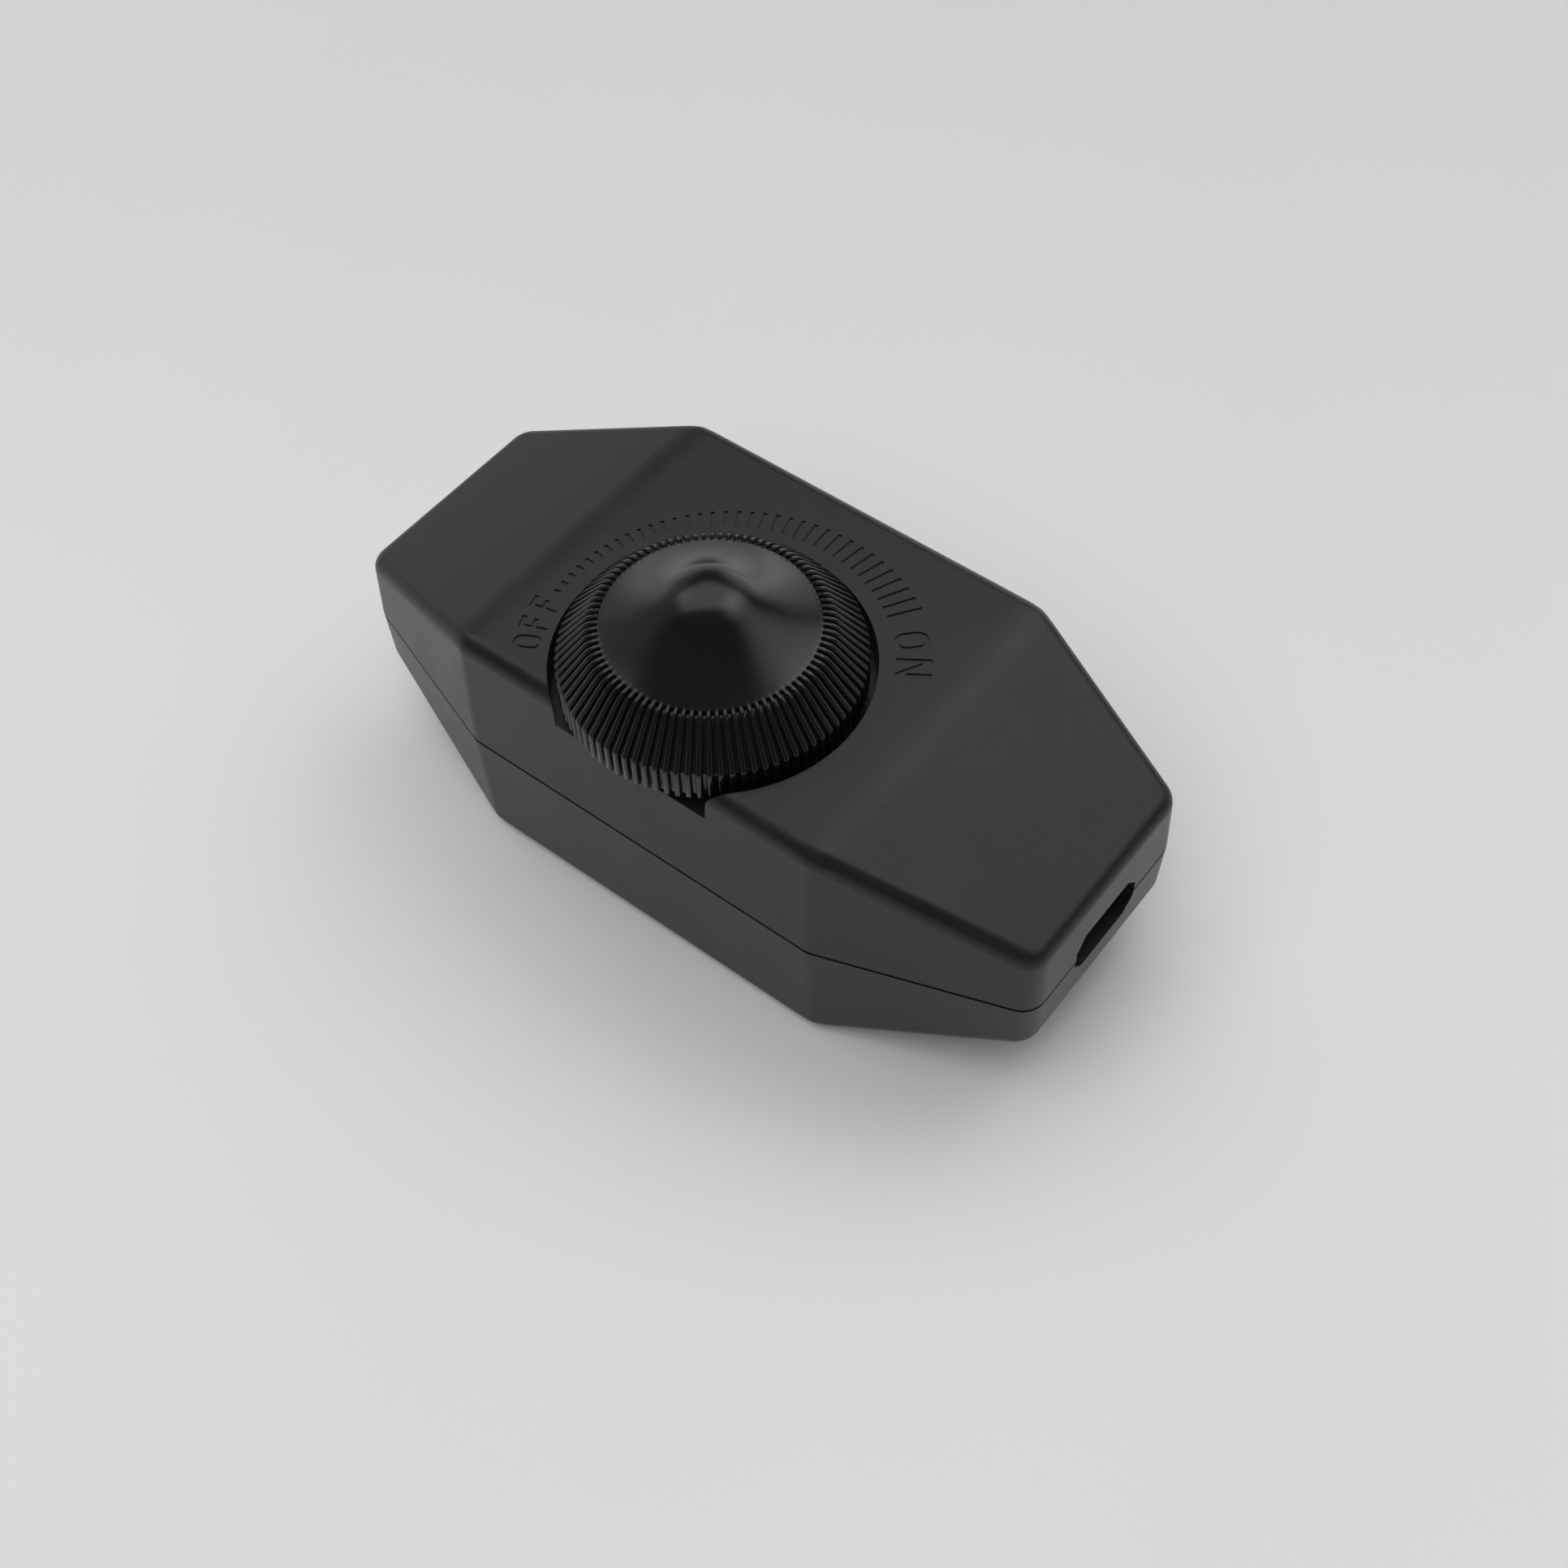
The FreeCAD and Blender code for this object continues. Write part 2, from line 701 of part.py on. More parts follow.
def make_knob():
    body = new_body("knob_form")
    bind(body, "Placement.Base.y", axis_y)
    tip = ring_level + S.bell_rise
    turn_radius = S.tip_flat + S.tip_round * sine(S.bell_angle)
    turn_level = tip - S.tip_round * (1 - cosine(S.bell_angle))
    inner_rim = S.knob_radius - S.knob_wall
    ceiling = ring_level - S.knob_wall
    cone_radius = S.ring_radius + S.ring_round * sine(S.cone_angle)
    cone_level = ring_level - S.ring_round * (1 - cosine(S.cone_angle))
    corners = [(0, knob_bottom), (S.hub_radius, knob_bottom), (S.hub_radius, ceiling),
               (S.ring_radius, ceiling), (inner_rim, rim_top - S.knob_wall / 2),
               (inner_rim, knob_bottom), (S.knob_radius, knob_bottom), (S.knob_radius, rim_top),
               (cone_radius, cone_level), (S.ring_radius, ring_level),
               (turn_radius, turn_level), (S.tip_flat, tip), (0, tip)]
    bulges = {8: (-1, S.ring_round), 9: (1, S.bell_hollow), 10: (-1, S.tip_round)}
    turned = body.newObject("PartDesign::Revolution", "knob_turned")
    turned.Profile = outline_sketch(body, "knob_profile", "XZ_Plane", corners, 0, bulges)
    turned.ReferenceAxis = (origin_feature(body, "Z_Axis"), [""])
    turned.Angle = 360
    deep_rim = S.knob_radius - S.knurl_depth
    deep_cone = (cone_radius - S.knurl_depth * sine(S.cone_angle), cone_level - S.knurl_depth * cosine(S.cone_angle))
    outside = S.knob_radius + OVERSHOOT
    above = ring_level + OVERSHOOT
    channel = [(deep_rim, knob_bottom - OVERSHOOT), (outside, knob_bottom - OVERSHOOT), (outside, above),
               (S.ring_radius, above), (S.ring_radius, ring_level - S.knurl_depth), deep_cone, (deep_rim, rim_top)]
    channel_round = {4: (1, S.ring_round - S.knurl_depth)}
    groove = body.newObject("PartDesign::Pocket", "knurl_groove")
    groove.Profile = outline_sketch(body, "knurl_channel", "XZ_Plane", channel, 0, channel_round)
    groove.Midplane = True
    bind(groove, "Length", S.knurl_width)
    doc.recompute()
    knurl = body.newObject("PartDesign::PolarPattern", "knurl")
    knurl.Originals = [groove]
    knurl.Axis = (origin_feature(body, "Z_Axis"), [""])
    knurl.Angle = 360
    bind(knurl, "Occurrences", S.knurl_count)
    body.Tip = knurl
    doc.recompute()
    bore = flatted("knob_bore", knob_bottom, shaft_top + S.shaft_end_gap)
    return less("control_knob", body, bore)


def flatted(name, low, high):
    """Round shaft with one flat side, from one level to another."""
    height = high - low
    full = rod(f"{name}_round", S.shaft_radius, height, (0, axis_y, low))
    away = block(f"{name}_flat", (S.shaft_radius * 2, S.shaft_radius, height),
                 (0, axis_y + S.shaft_flat + S.shaft_radius / 2, low))
    return less(name, full, away)


# Potentiometer

shaft_top = ring_level - S.shaft_end_gap
switch_level = board_top + S.pot_stand
wafer_level = switch_level + S.switch_height
can_level = wafer_level + S.wafer_thickness
can_top = can_level + S.can_height
bushing_top = well_level - S.well_floor - S.bushing_gap
rotor_level = can_level + S.rotor_gap
lug_y = axis_y + S.can_radius + S.wafer_tab_reach / 2
shaft_flat_level = bushing_top + S.bushing_gap


def make_pot():
    middle = (0, axis_y)
    shaft_low = rotor_level - S.rotor_gap / 2
    stem = rod("shaft_round", S.shaft_radius, shaft_flat_level - shaft_low, (*middle, shaft_low))
    shaft = joined("pot_shaft", stem, flatted("shaft_end", shaft_flat_level, shaft_top))
    rotor = less("pot_rotor", rod("rotor_disc", S.rotor_radius, S.rotor_height, (*middle, rotor_level)),
                 rod("rotor_bore", S.shaft_radius, S.rotor_height, (*middle, rotor_level)))
    wiper_reach = S.rotor_radius - S.shaft_radius
    wiper = block("pot_wiper", (S.wiper_width, wiper_reach, S.wiper_thickness),
                  (0, axis_y + S.shaft_radius + wiper_reach / 2, rotor_level - S.wiper_thickness))
    sleeve_height = bushing_top - can_top
    bore = rod("bushing_bore", S.shaft_radius + S.shaft_running_gap, sleeve_height, (*middle, can_top))
    sleeve = rod("bushing_sleeve", S.bushing_radius, sleeve_height, (*middle, can_top))
    flange = rod("bushing_flange", S.bushing_flange_radius, S.bushing_flange, (*middle, can_top))
    bushing = less("pot_bushing", joined("bushing_solid", sleeve, flange), bore)
    can_room = rod("can_room", S.can_radius - S.can_wall, S.can_height - S.can_wall, (*middle, can_level))
    can_hole = rod("can_hole", S.shaft_radius + S.shaft_hole_gap, S.can_height, (*middle, can_level))
    can_cup = rod("can_outer", S.can_radius, S.can_height, (*middle, can_level))
    can = less("pot_can", can_cup, can_room, can_hole)
    tab_size = (S.wafer_tab_width, S.can_radius + S.wafer_tab_reach, S.wafer_thickness)
    tab = block("wafer_tab", tab_size, (0, axis_y + tab_size[1] / 2, wafer_level))
    disc = rod("wafer_disc", S.can_radius, S.wafer_thickness, (*middle, wafer_level))
    wafer = joined("pot_wafer", disc, tab)
    lugs = [lead(f"lug_{n}", n * S.lug_pitch, lug_y, wafer_level) for n in (-1, 0, 1)]
    switch = rod("pot_switch", S.switch_radius, S.switch_height, (*middle, switch_level))
    pins = [lead(f"switch_pin_{n}", n * S.lug_pitch / 2, axis_y, switch_level) for n in ENDS]
    return [shaft, rotor, wiper, bushing, can, wafer, several("pot_terminals", *lugs), switch,
            several("pot_switch_pins", *pins)]


# Circuit board and the components on it

board_holes = []


def lead(name, x, y, high, low=None):
    """Wire standing in a hole of the board."""
    board_holes.append((x, y))
    low = low or board_bottom - S.lead_tail
    return rod(name, S.lead_radius, high - low, (x, y, low))


def axial(name, radius, length, span, centre, along):
    """Round component lying above the board, with its two wires bent down."""
    x, y = (as_size(value) for value in centre)
    level = board_top + radius + S.part_gap / 2
    shift = (1, 0) if along == "x" else (0, 1)
    feet = [(x + shift[0] * end * span / 2, y + shift[1] * end * span / 2) for end in ENDS]
    wire_start = (*feet[0], level)
    wire = rod(f"{name}_wire", S.lead_radius, span, wire_start, along)
    start = (x - shift[0] * length / 2, y - shift[1] * length / 2, level)
    body = rod(f"{name}_body", radius, length, start, along)
    legs = [lead(f"{name}_leg_{n}", *foot, level) for n, foot in enumerate(feet)]
    bends = [ball(f"{name}_bend_{n}", S.lead_radius, (*foot, level)) for n, foot in enumerate(feet)]
    return joined(name, body, wire, *legs, *bends)


def ball(name, radius, centre):
    item = doc.addObject("Part::Sphere", name)
    bind(item, "Radius", radius)
    return place(item, centre)


def boxed(name, size, foot, along):
    """Box-shaped component standing on the board by two wires."""
    wire_shift = LEAD_SPREAD * (size[0] if along == "x" else size[1])
    x, y, level = foot
    spots = [(x + end * wire_shift, y) if along == "x" else (x, y + end * wire_shift) for end in ENDS]
    legs = [lead(f"{name}_leg_{n}", *spot, level) for n, spot in enumerate(spots)]
    return joined(name, block(f"{name}_case", size, foot), *legs)


sink_front = board_half_width - S.sink_edge_gap - S.sink_thickness
triac_front = sink_front - S.tab_thickness - S.triac_case_thickness


def make_triac():
    """Power switch screwed to its cooling plate at the back edge of the board."""
    sink_y = sink_front + S.sink_thickness / 2
    tab_y = sink_front - S.tab_thickness / 2
    case_y = triac_front + S.triac_case_thickness / 2
    tab_level = board_top + S.triac_stand
    hole_level = tab_level + S.tab_height - S.tab_hole_drop
    x = S.sink_centre
    plate = block("sink_plate", (S.sink_width, S.sink_thickness, S.sink_height), (x, sink_y, board_top))
    front = tab_y - S.tab_thickness / 2
    run = S.tab_thickness + S.sink_thickness
    hole = rod("triac_hole", S.triac_screw_radius, run, (x, front, hole_level), "y")
    sink = less("heat_sink", plate, hole)
    tab = block("triac_tab", (S.tab_width, S.tab_thickness, S.tab_height), (x, tab_y, tab_level))
    legs = [lead(f"triac_leg_{n}", x + n * S.triac_leg_pitch, tab_y, tab_level + S.lead_radius)
            for n in (-1, 0, 1)]
    frame = less("triac_frame", joined("triac_metal", tab, *legs), hole)
    case_size = (S.tab_width, S.triac_case_thickness, S.triac_case_height)
    case = block("triac_case", case_size, (x, case_y, tab_level))
    shank = rod("triac_shank", S.triac_screw_radius, run, (x, front, hole_level), "y")
    head_start = (x, front - S.small_head_height, hole_level)
    head = rod("triac_head", S.triac_screw_head, S.small_head_height, head_start, "y")
    return [sink, frame, case, joined("triac_screw", shank, head)]


def make_choke():
    """Ring core standing on its edge, with a single layer of wire round it."""
    turn_radius = S.core_thickness + S.coil_wire
    reach = S.core_radius + turn_radius + S.coil_wire
    x = S.sink_centre + S.sink_width / 2 + S.part_gap + turn_radius + S.coil_wire
    y = board_half_width - S.choke_edge_gap - reach
    level = board_top + S.choke_stand + reach
    core = torus("choke_core", S.core_radius, S.core_thickness, (x, y, level), (0, 1, 0), 90)
    turns = []
    count = int(S.coil_turns.number)
    for number in range(count):
        angle = S.coil_angle * (number / (count - 1)) - S.coil_angle / 2 + 90
        spot = (x, y + S.core_radius * cosine(angle), level + S.core_radius * sine(angle))
        turns.append(torus(f"turn_{number}", turn_radius, S.coil_wire, spot, (1, 0, 0), angle))
    return [core, several("choke_winding", *turns)]


def torus(name, major, minor, centre, axis, angle):
    item = doc.addObject("Part::Torus", name)
    bind(item, "Radius1", major)
    bind(item, "Radius2", minor)
    return place(item, centre, axis, angle)


def make_components():
    filter_x = S.filter_end_gap + S.filter_length / 2 - board_half_length
    filter_y = board_half_width - S.filter_edge_gap - S.filter_width / 2
    filter_size = (S.filter_length, S.filter_width, S.filter_height)
    beside_pot = S.can_radius + S.part_gap
    timing_size = (S.timing_width, S.timing_length, S.timing_height)
    timing_foot = (beside_pot + S.timing_width / 2, axis_y + S.timing_length / 2, board_top)
    resistor_x = board_half_length - S.resistor_end_gap
    resistor_y = S.resistor_radius + S.resistor_edge_gap - board_half_width
    resistors = [axial(f"resistor_{n}", S.resistor_radius, S.resistor_length, S.resistor_span,
                       (n * resistor_x, resistor_y), "x") for n in ENDS]
    diac_x = S.lug_pitch + S.lead_radius * 2 + S.part_gap + S.diac_span / 2
    diac_y = triac_front - S.part_gap - S.diac_radius
    return [
        boxed("filter_capacitor", filter_size, (filter_x, filter_y, board_top), "x"),
        boxed("timing_capacitor", timing_size, timing_foot, "y"),
        several("resistors", *resistors),
        axial("fuse", S.fuse_radius, S.fuse_length, S.fuse_span, (-beside_pot - S.fuse_radius, axis_y), "y"),
        axial("diac", S.diac_radius, S.diac_length, S.diac_span, (diac_x, diac_y), "x"),
    ]


def make_board():
    """Board drilled for every wire that stands in it and for its two screws."""
    slab_size = (board_half_length * 2, board_half_width * 2, S.board_thickness)
    slab = block("board_slab", slab_size, (0, 0, board_bottom))
    drill = S.lead_radius + S.lead_clearance
    holes = rods("board_hole", board_holes, drill, board_bottom, S.board_thickness)
    screwed = board_places()[:2]
    holes += rods("board_screw_hole", screwed, S.board_screw_radius, board_bottom, S.board_thickness)
    return less("circuit_board", slab, *holes)


# Wire terminals

def make_terminals():
    """Two screw terminals, each with two wire cages in pockets that open upwards."""
    blocks = []
    cages = []
    screws = []
    cage_level = board_top + S.cage_floor
    cage_top = cage_level + S.cage_height
    wire_level = cage_level + S.cage_height / 2
    screw_reach = S.cage_height / 2 - S.wire_hole_radius
    pocket_size = (S.cage_depth + S.cage_gap * 2, S.cage_width + S.cage_gap * 2, S.terminal_height)
    for end, node in zip(ENDS, ("input_terminal", "output_terminal")):
        x = end * (board_half_length - S.terminal_end_gap - S.terminal_depth / 2)
        case = block(f"{node}_case", (S.terminal_depth, S.terminal_width, S.terminal_height),
                     (x, -S.terminal_centre, board_top))
        cuts = []
        for side in ENDS:
            y = side * S.terminal_pitch / 2 - S.terminal_centre
            tag = f"{node}_{side}"
            wire_start = x if end > 0 else x - S.terminal_depth
            wire = rod(f"{tag}_wire", S.wire_hole_radius, S.terminal_depth, (wire_start, y, wire_level), "x")
            cuts += [block(f"{tag}_pocket", pocket_size, (x, y, cage_level)), wire]
            cage = block(f"{tag}_cage", (S.cage_depth, S.cage_width, S.cage_height), (x, y, cage_level))
            thread_start = (x, y, cage_top - screw_reach)
            thread = rod(f"{tag}_thread", S.terminal_screw_radius, screw_reach, thread_start)
            passage_start = (x - S.cage_depth / 2, y, wire_level)
            passage = rod(f"{tag}_passage", S.wire_hole_radius, S.cage_depth, passage_start, "x")
            cages.append(less(f"{tag}_clamp", cage, passage, thread))
            screws.append(screw(f"{tag}_screw", (x, y, cage_top), S.terminal_screw_radius, screw_reach,
                                S.terminal_screw_head, S.terminal_screw_head_height, downwards=True))
        blocks.append(less(node, case, *cuts))
    return [*blocks, several("terminal_cages", *cages), several("terminal_screws", *screws)]


# Fasteners and cord clamps

def screw(name, seat, radius, length, head_radius, head_height, downwards):
    """Screw with a slotted round head on the seat and its shank below it, or above it if turned over."""
    x, y, level = seat
    if downwards:
        shank_level, head_level = level - length, level
        slot_level = level + head_height - S.drive_depth
    else:
        shank_level, head_level = level, level - head_height
        slot_level = head_level
    shank = rod(f"{name}_shank", radius, length, (x, y, shank_level))
    head = rod(f"{name}_head", head_radius, head_height, (x, y, head_level))
    slot = block(f"{name}_slot", (S.drive_width, head_radius * 2, S.drive_depth), (x, y, slot_level))
    return less(name, joined(f"{name}_blank", shank, head), slot)


def make_fasteners():
    clamp_top = clamp_seat + S.clamp_thickness
    closing_length = parting + S.screw_bite - S.screw_seat
    clamping_length = S.clamp_thickness + S.clamp_bite
    boarding_length = S.board_thickness + S.board_stand
    closing = [screw(f"closing_{n}", (x, y, S.screw_seat), S.screw_radius, closing_length,
                     S.screw_head_radius, S.screw_head_height, downwards=False)
               for n, (x, y) in enumerate(corner_places())]
    clamping = [screw(f"clamping_{n}", (x, y, clamp_top), S.clamp_screw_radius, clamping_length,
                      S.clamp_screw_head, S.small_head_height, downwards=True)
                for n, (x, y) in enumerate(clamp_places())]
    boarding = [screw(f"boarding_{n}", (x, y, board_top), S.board_screw_radius, boarding_length,
                      S.board_screw_head, S.small_head_height, downwards=True)
                for n, (x, y) in enumerate(board_places()[:2])]
    groups = {"housing_screws": closing, "clamp_screws": clamping, "board_screws": boarding}
    return [several(name, *screws) for name, screws in groups.items()]


def make_clamps():
    """Bar over each cord, with a stiffening rib on top and a hole at either end."""
    bars = []
    for end, node in zip(ENDS, ("input_cord_clamp", "output_cord_clamp")):
        length = clamp_screw_y * 2
        bar = block(f"{node}_bar", (S.clamp_width, length, S.clamp_thickness), (end * clamp_x, 0, clamp_seat))
        tips = [rod(f"{node}_tip_{side}", S.clamp_width / 2, S.clamp_thickness,
                    (end * clamp_x, side * clamp_screw_y, clamp_seat)) for side in ENDS]
        rib = block(f"{node}_rib", (S.clamp_rib_width, S.clamp_rib_length, S.clamp_rib_height),
                    (end * clamp_x, 0, clamp_seat + S.clamp_thickness))
        holes = [rod(f"{node}_hole_{side}", S.clamp_screw_radius, S.clamp_thickness,
                     (end * clamp_x, side * clamp_screw_y, clamp_seat)) for side in ENDS]
        bars.append(less(node, joined(f"{node}_solid", bar, rib, *tips), *holes))
    return bars


way = cord_way()
nodes = [make_cover(), make_base(), make_knob()]
nodes += make_pot() + make_triac() + make_choke() + make_components()
nodes += [make_board()] + make_terminals() + make_clamps() + make_fasteners()
doc.recompute()

faults = [item.Name for item in doc.Objects if {"Invalid", "Error"} & set(item.State)]
faults += [node.Name for node in nodes if node.Shape.isNull() or not node.Shape.isValid()]
if faults:
    raise RuntimeError(f"failed: {faults}")

os.makedirs("parts", exist_ok=True)
for node in nodes:
    node.Label = node.Name
    node.Shape.exportStep(f"parts/{node.Label}.step")
    print(f"{node.Label}: {len(node.Shape.Solids)} solids, {node.Shape.Volume:.1f} mm3")
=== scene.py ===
"""Rotary cord dimmer: the finishes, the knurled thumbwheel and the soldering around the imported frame.

Metres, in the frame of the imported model: the origin is the middle of the flat underside, +Z is up,
+X runs along the cord towards the lamp and -Y is the side where the thumbwheel stands out.
"""

import logging
import math
from dataclasses import dataclass, field
from enum import Enum

import bmesh
import bpy
from mathutils import Matrix, Vector


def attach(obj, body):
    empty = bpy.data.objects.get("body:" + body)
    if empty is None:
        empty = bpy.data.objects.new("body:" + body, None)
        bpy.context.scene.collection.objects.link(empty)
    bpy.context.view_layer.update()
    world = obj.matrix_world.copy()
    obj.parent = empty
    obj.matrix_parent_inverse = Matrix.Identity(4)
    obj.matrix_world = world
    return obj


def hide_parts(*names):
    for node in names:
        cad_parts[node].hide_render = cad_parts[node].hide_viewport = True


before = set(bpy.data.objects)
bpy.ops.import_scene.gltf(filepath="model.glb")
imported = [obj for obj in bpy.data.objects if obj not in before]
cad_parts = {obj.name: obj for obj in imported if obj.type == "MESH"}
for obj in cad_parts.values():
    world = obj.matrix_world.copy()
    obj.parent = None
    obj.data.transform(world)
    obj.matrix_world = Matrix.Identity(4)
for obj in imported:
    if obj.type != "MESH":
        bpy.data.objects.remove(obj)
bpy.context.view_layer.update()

MM = 0.001
# Where nearly all values of a noise texture lie, and all of them.
NOISE_MOST = (0.3, 0.7)
NOISE_ALL = (0.0, 1.0)
log = logging.getLogger("dimmer")


def linear(hex_code: str) -> tuple[float, float, float, float]:
    """Turn an sRGB hex colour into linear light.

    Args:
        hex_code: Six hex digits, with or without a leading #.

    Returns:
        Red, green, blue and an alpha of 1.
    """
    digits = hex_code.lstrip("#")
    channels = [int(digits[start:start + 2], 16) / 255 for start in (0, 2, 4)]
    light = [c / 12.92 if c <= 0.04045 else ((c + 0.055) / 1.055) ** 2.4 for c in channels]
    return light[0], light[1], light[2], 1.0


def set_inputs(tree: bpy.types.NodeTree, node: bpy.types.Node, inputs: dict) -> None:
    """Set or link a node's inputs.

    Args:
        tree: Tree that the node is in.
        node: The node.
        inputs: For each input's name or number, a value to set or an output socket to link.
    """
    for key, value in inputs.items():
        if isinstance(value, bpy.types.NodeSocket):
            tree.links.new(value, node.inputs[key])
        else:
            node.inputs[key].default_value = value


def add_node(tree: bpy.types.NodeTree, kind: str, inputs: dict | None = None, **settings) -> bpy.types.Node:
    """Add a node with its settings and links.

    Args:
        tree: Tree that the node goes into.
        kind: Blender's name of the node's type.
        inputs: For each input's name or number, a value to set or an output socket to link.
        settings: Properties of the node.

    Returns:
        The new node.
    """
    node = tree.nodes.new(kind)
    for name, value in settings.items():
        setattr(node, name, value)
    set_inputs(tree, node, inputs or {})
    return node


def calculate(tree: bpy.types.NodeTree, operation: str, *values: object) -> bpy.types.NodeSocket:
    """Add a calculation.

    Args:
        tree: Tree that it goes into.
        operation: Blender's name of the operation.
        values: Sockets or numbers that it works on, in order.

    Returns:
        The result.
    """
    return add_node(tree, "ShaderNodeMath", dict(enumerate(values)), operation=operation).outputs[0]


def remap(tree: bpy.types.NodeTree, value: bpy.types.NodeSocket, before: tuple[float, float],
          after: tuple[float, float] = (0.0, 1.0), smooth: bool = False) -> bpy.types.NodeSocket:
    """Add a change from one range to another, which stops at both ends.

    Args:
        tree: Tree that it goes into.
        value: What is changed.
        before: Ends of the first range.
        after: What the first range's ends become.
        smooth: Whether it eases in and out.

    Returns:
        The changed value.
    """
    inputs = dict(enumerate((value, *before, *after)))
    easing = "SMOOTHSTEP" if smooth else "LINEAR"
    return add_node(tree, "ShaderNodeMapRange", inputs, interpolation_type=easing).outputs[0]


def blend(tree: bpy.types.NodeTree, share: bpy.types.NodeSocket, first: object,
          second: object) -> bpy.types.NodeSocket:
    """Add a blend of two colours.

    Args:
        tree: Tree that it goes into.
        share: Share of the second colour.
        first: First colour, as a socket or in linear light.
        second: Second colour, as a socket or in linear light.

    Returns:
        The blended colour.
    """
    return add_node(tree, "ShaderNodeMix", {0: share, 6: first, 7: second}, data_type="RGBA").outputs[2]


def noise(tree: bpy.types.NodeTree, place: bpy.types.NodeSocket, size_mm: float, detail: float,
          roughness: float = 0.5, distortion: float = 0.0) -> bpy.types.NodeSocket:
    """Add a noise texture.

    Args:
        tree: Tree that it goes into.
        place: Where each spot lies, in metres.
        size_mm: Size of its features.
        detail: Number of finer layers.
        roughness: Strength of the finer layers.
        distortion: How far the features are twisted.

    Returns:
        The noise, from 0 to 1.
    """
    return add_node(tree, "ShaderNodeTexNoise", {
        "Vector": place, "Scale": 1 / (size_mm * MM), "Detail": detail, "Roughness": roughness,
        "Distortion": distortion}).outputs[0]


def new_material(name: str) -> tuple[bpy.types.Material, bpy.types.NodeTree, bpy.types.NodeSocket]:
    """Start a material.

    Args:
        name: Material and surface.

    Returns:
        The material, its tree, and the place of each spot on the piece.
    """
    made = bpy.data.materials.new(name)
    made.use_nodes = True
    place = add_node(made.node_tree, "ShaderNodeTexCoord").outputs["Object"]
    return made, made.node_tree, place


def set_surface(tree: bpy.types.NodeTree, relief: bpy.types.NodeSocket, depth_mm: float,
                inputs: dict) -> None:
    """Give a material its relief and the inputs of its shader.

    Args:
        tree: The material's tree.
        relief: Height of the surface's relief, from 0 to 1.
        depth_mm: Depth of the relief.
        inputs: For each input's name, a value to set or an output socket to link.
    """
    bump = add_node(tree, "ShaderNodeBump", {"Strength": 1.0, "Distance": depth_mm * MM, "Height": relief})
    set_inputs(tree, tree.nodes["Principled BSDF"], {**inputs, "Normal": bump.outputs[0]})


class MouldTexture(Enum):
    """How the mould's surface was made: grain in mm, its depth in mm and the spread of roughness."""

    SPARK_ERODED = (0.40, 0.012, 0.03)
    SATIN = (0.9, 0.003, 0.05)
    POLISHED = (1.2, 0.0012, 0.03)


@dataclass(frozen=True)
class MouldedPlastic:
    """Injection-moulded plastic, whose look comes from the mould's surface and a faint uneven shade.

    Attributes:
        name: Material and surface.
        shade: Main colour, sRGB hex.
        fleck: Colour of the uneven patches, sRGB hex.
        roughness: Middle roughness.
        texture: How the mould was finished.
        ior: Index of refraction.
        patch_mm: Size of the uneven patches.
        worn: Whether the piece's crest attribute tells where fingers polish it.
    """

    name: str
    shade: str
    fleck: str
    roughness: float
    texture: MouldTexture
    ior: float = 1.5
    patch_mm: float = 7.0
    worn: bool = False

    # What the roughness of a worn piece is multiplied by in its dull grooves and on its polished crests.
    WEAR = (1.25, 0.9)

    def material(self) -> bpy.types.Material:
        """Make the material.

        Returns:
            The new material.
        """
        grain_mm, depth_mm, spread = self.texture.value
        made, tree, place = new_material(self.name)
        patches = noise(tree, place, self.patch_mm, detail=4.0, roughness=0.6)
        grain = noise(tree, place, grain_mm, detail=3.0, roughness=0.65)
        uneven = calculate(tree, "MULTIPLY", patches, grain)
        shade = blend(tree, uneven, linear(self.shade), linear(self.fleck))
        roughness = remap(tree, patches, NOISE_MOST, (self.roughness - spread, self.roughness + spread))
        if self.worn:
            crest = add_node(tree, "ShaderNodeAttribute", attribute_name="crest").outputs["Fac"]
            polish = remap(tree, crest, (0.0, 1.0), self.WEAR)
            roughness = calculate(tree, "MULTIPLY", roughness, polish)
        set_surface(tree, grain, depth_mm, {"Base Color": shade, "Roughness": roughness, "IOR": self.ior})
        return made


class MetalSurface(Enum):
    """How the metal was worked: stretch of its marks along x, y and z, mark spacing in mm, depth in mm."""

    DRAWN = ((0.05, 1.0, 1.0), 0.15, 0.002)
    PLATED = ((1.0, 1.0, 1.0), 0.8, 0.002)
    CAST = ((1.0, 1.0, 1.0), 0.5, 0.010)


@dataclass(frozen=True)
class Metal:
    """Bare or plated metal, with the marks of how it was worked.

    Attributes:
        name: Material and surface.
        shade: Main colour, sRGB hex.
        stain: Colour of its duller patches, sRGB hex.
        roughness: Middle roughness.
        surface: How it was worked.
    """

    name: str
    shade: str
    stain: str
    roughness: float
    surface: MetalSurface

    # Size of the duller patches in mm, and what the roughness is multiplied by at the ends of its spread.
    STAIN_MM = 3.0
    SMOOTHEST = 0.75
    ROUGHEST = 1.3

    def material(self) -> bpy.types.Material:
        """Make the material.

        Returns:
            The new material.
        """
        stretch, spacing_mm, depth_mm = self.surface.value
        made, tree, place = new_material(self.name)
        along = add_node(tree, "ShaderNodeMapping", {"Vector": place, "Scale": stretch}).outputs[0]
        marks = noise(tree, along, spacing_mm, detail=4.0)
        stains = noise(tree, place, self.STAIN_MM, detail=3.0)
        shade = blend(tree, stains, linear(self.shade), linear(self.stain))
        spread = (self.roughness * self.SMOOTHEST, self.roughness * self.ROUGHEST)
        roughness = remap(tree, marks, NOISE_MOST, spread)
        set_surface(tree, marks, depth_mm, {"Base Color": shade, "Roughness": roughness, "Metallic": 1.0})
        return made


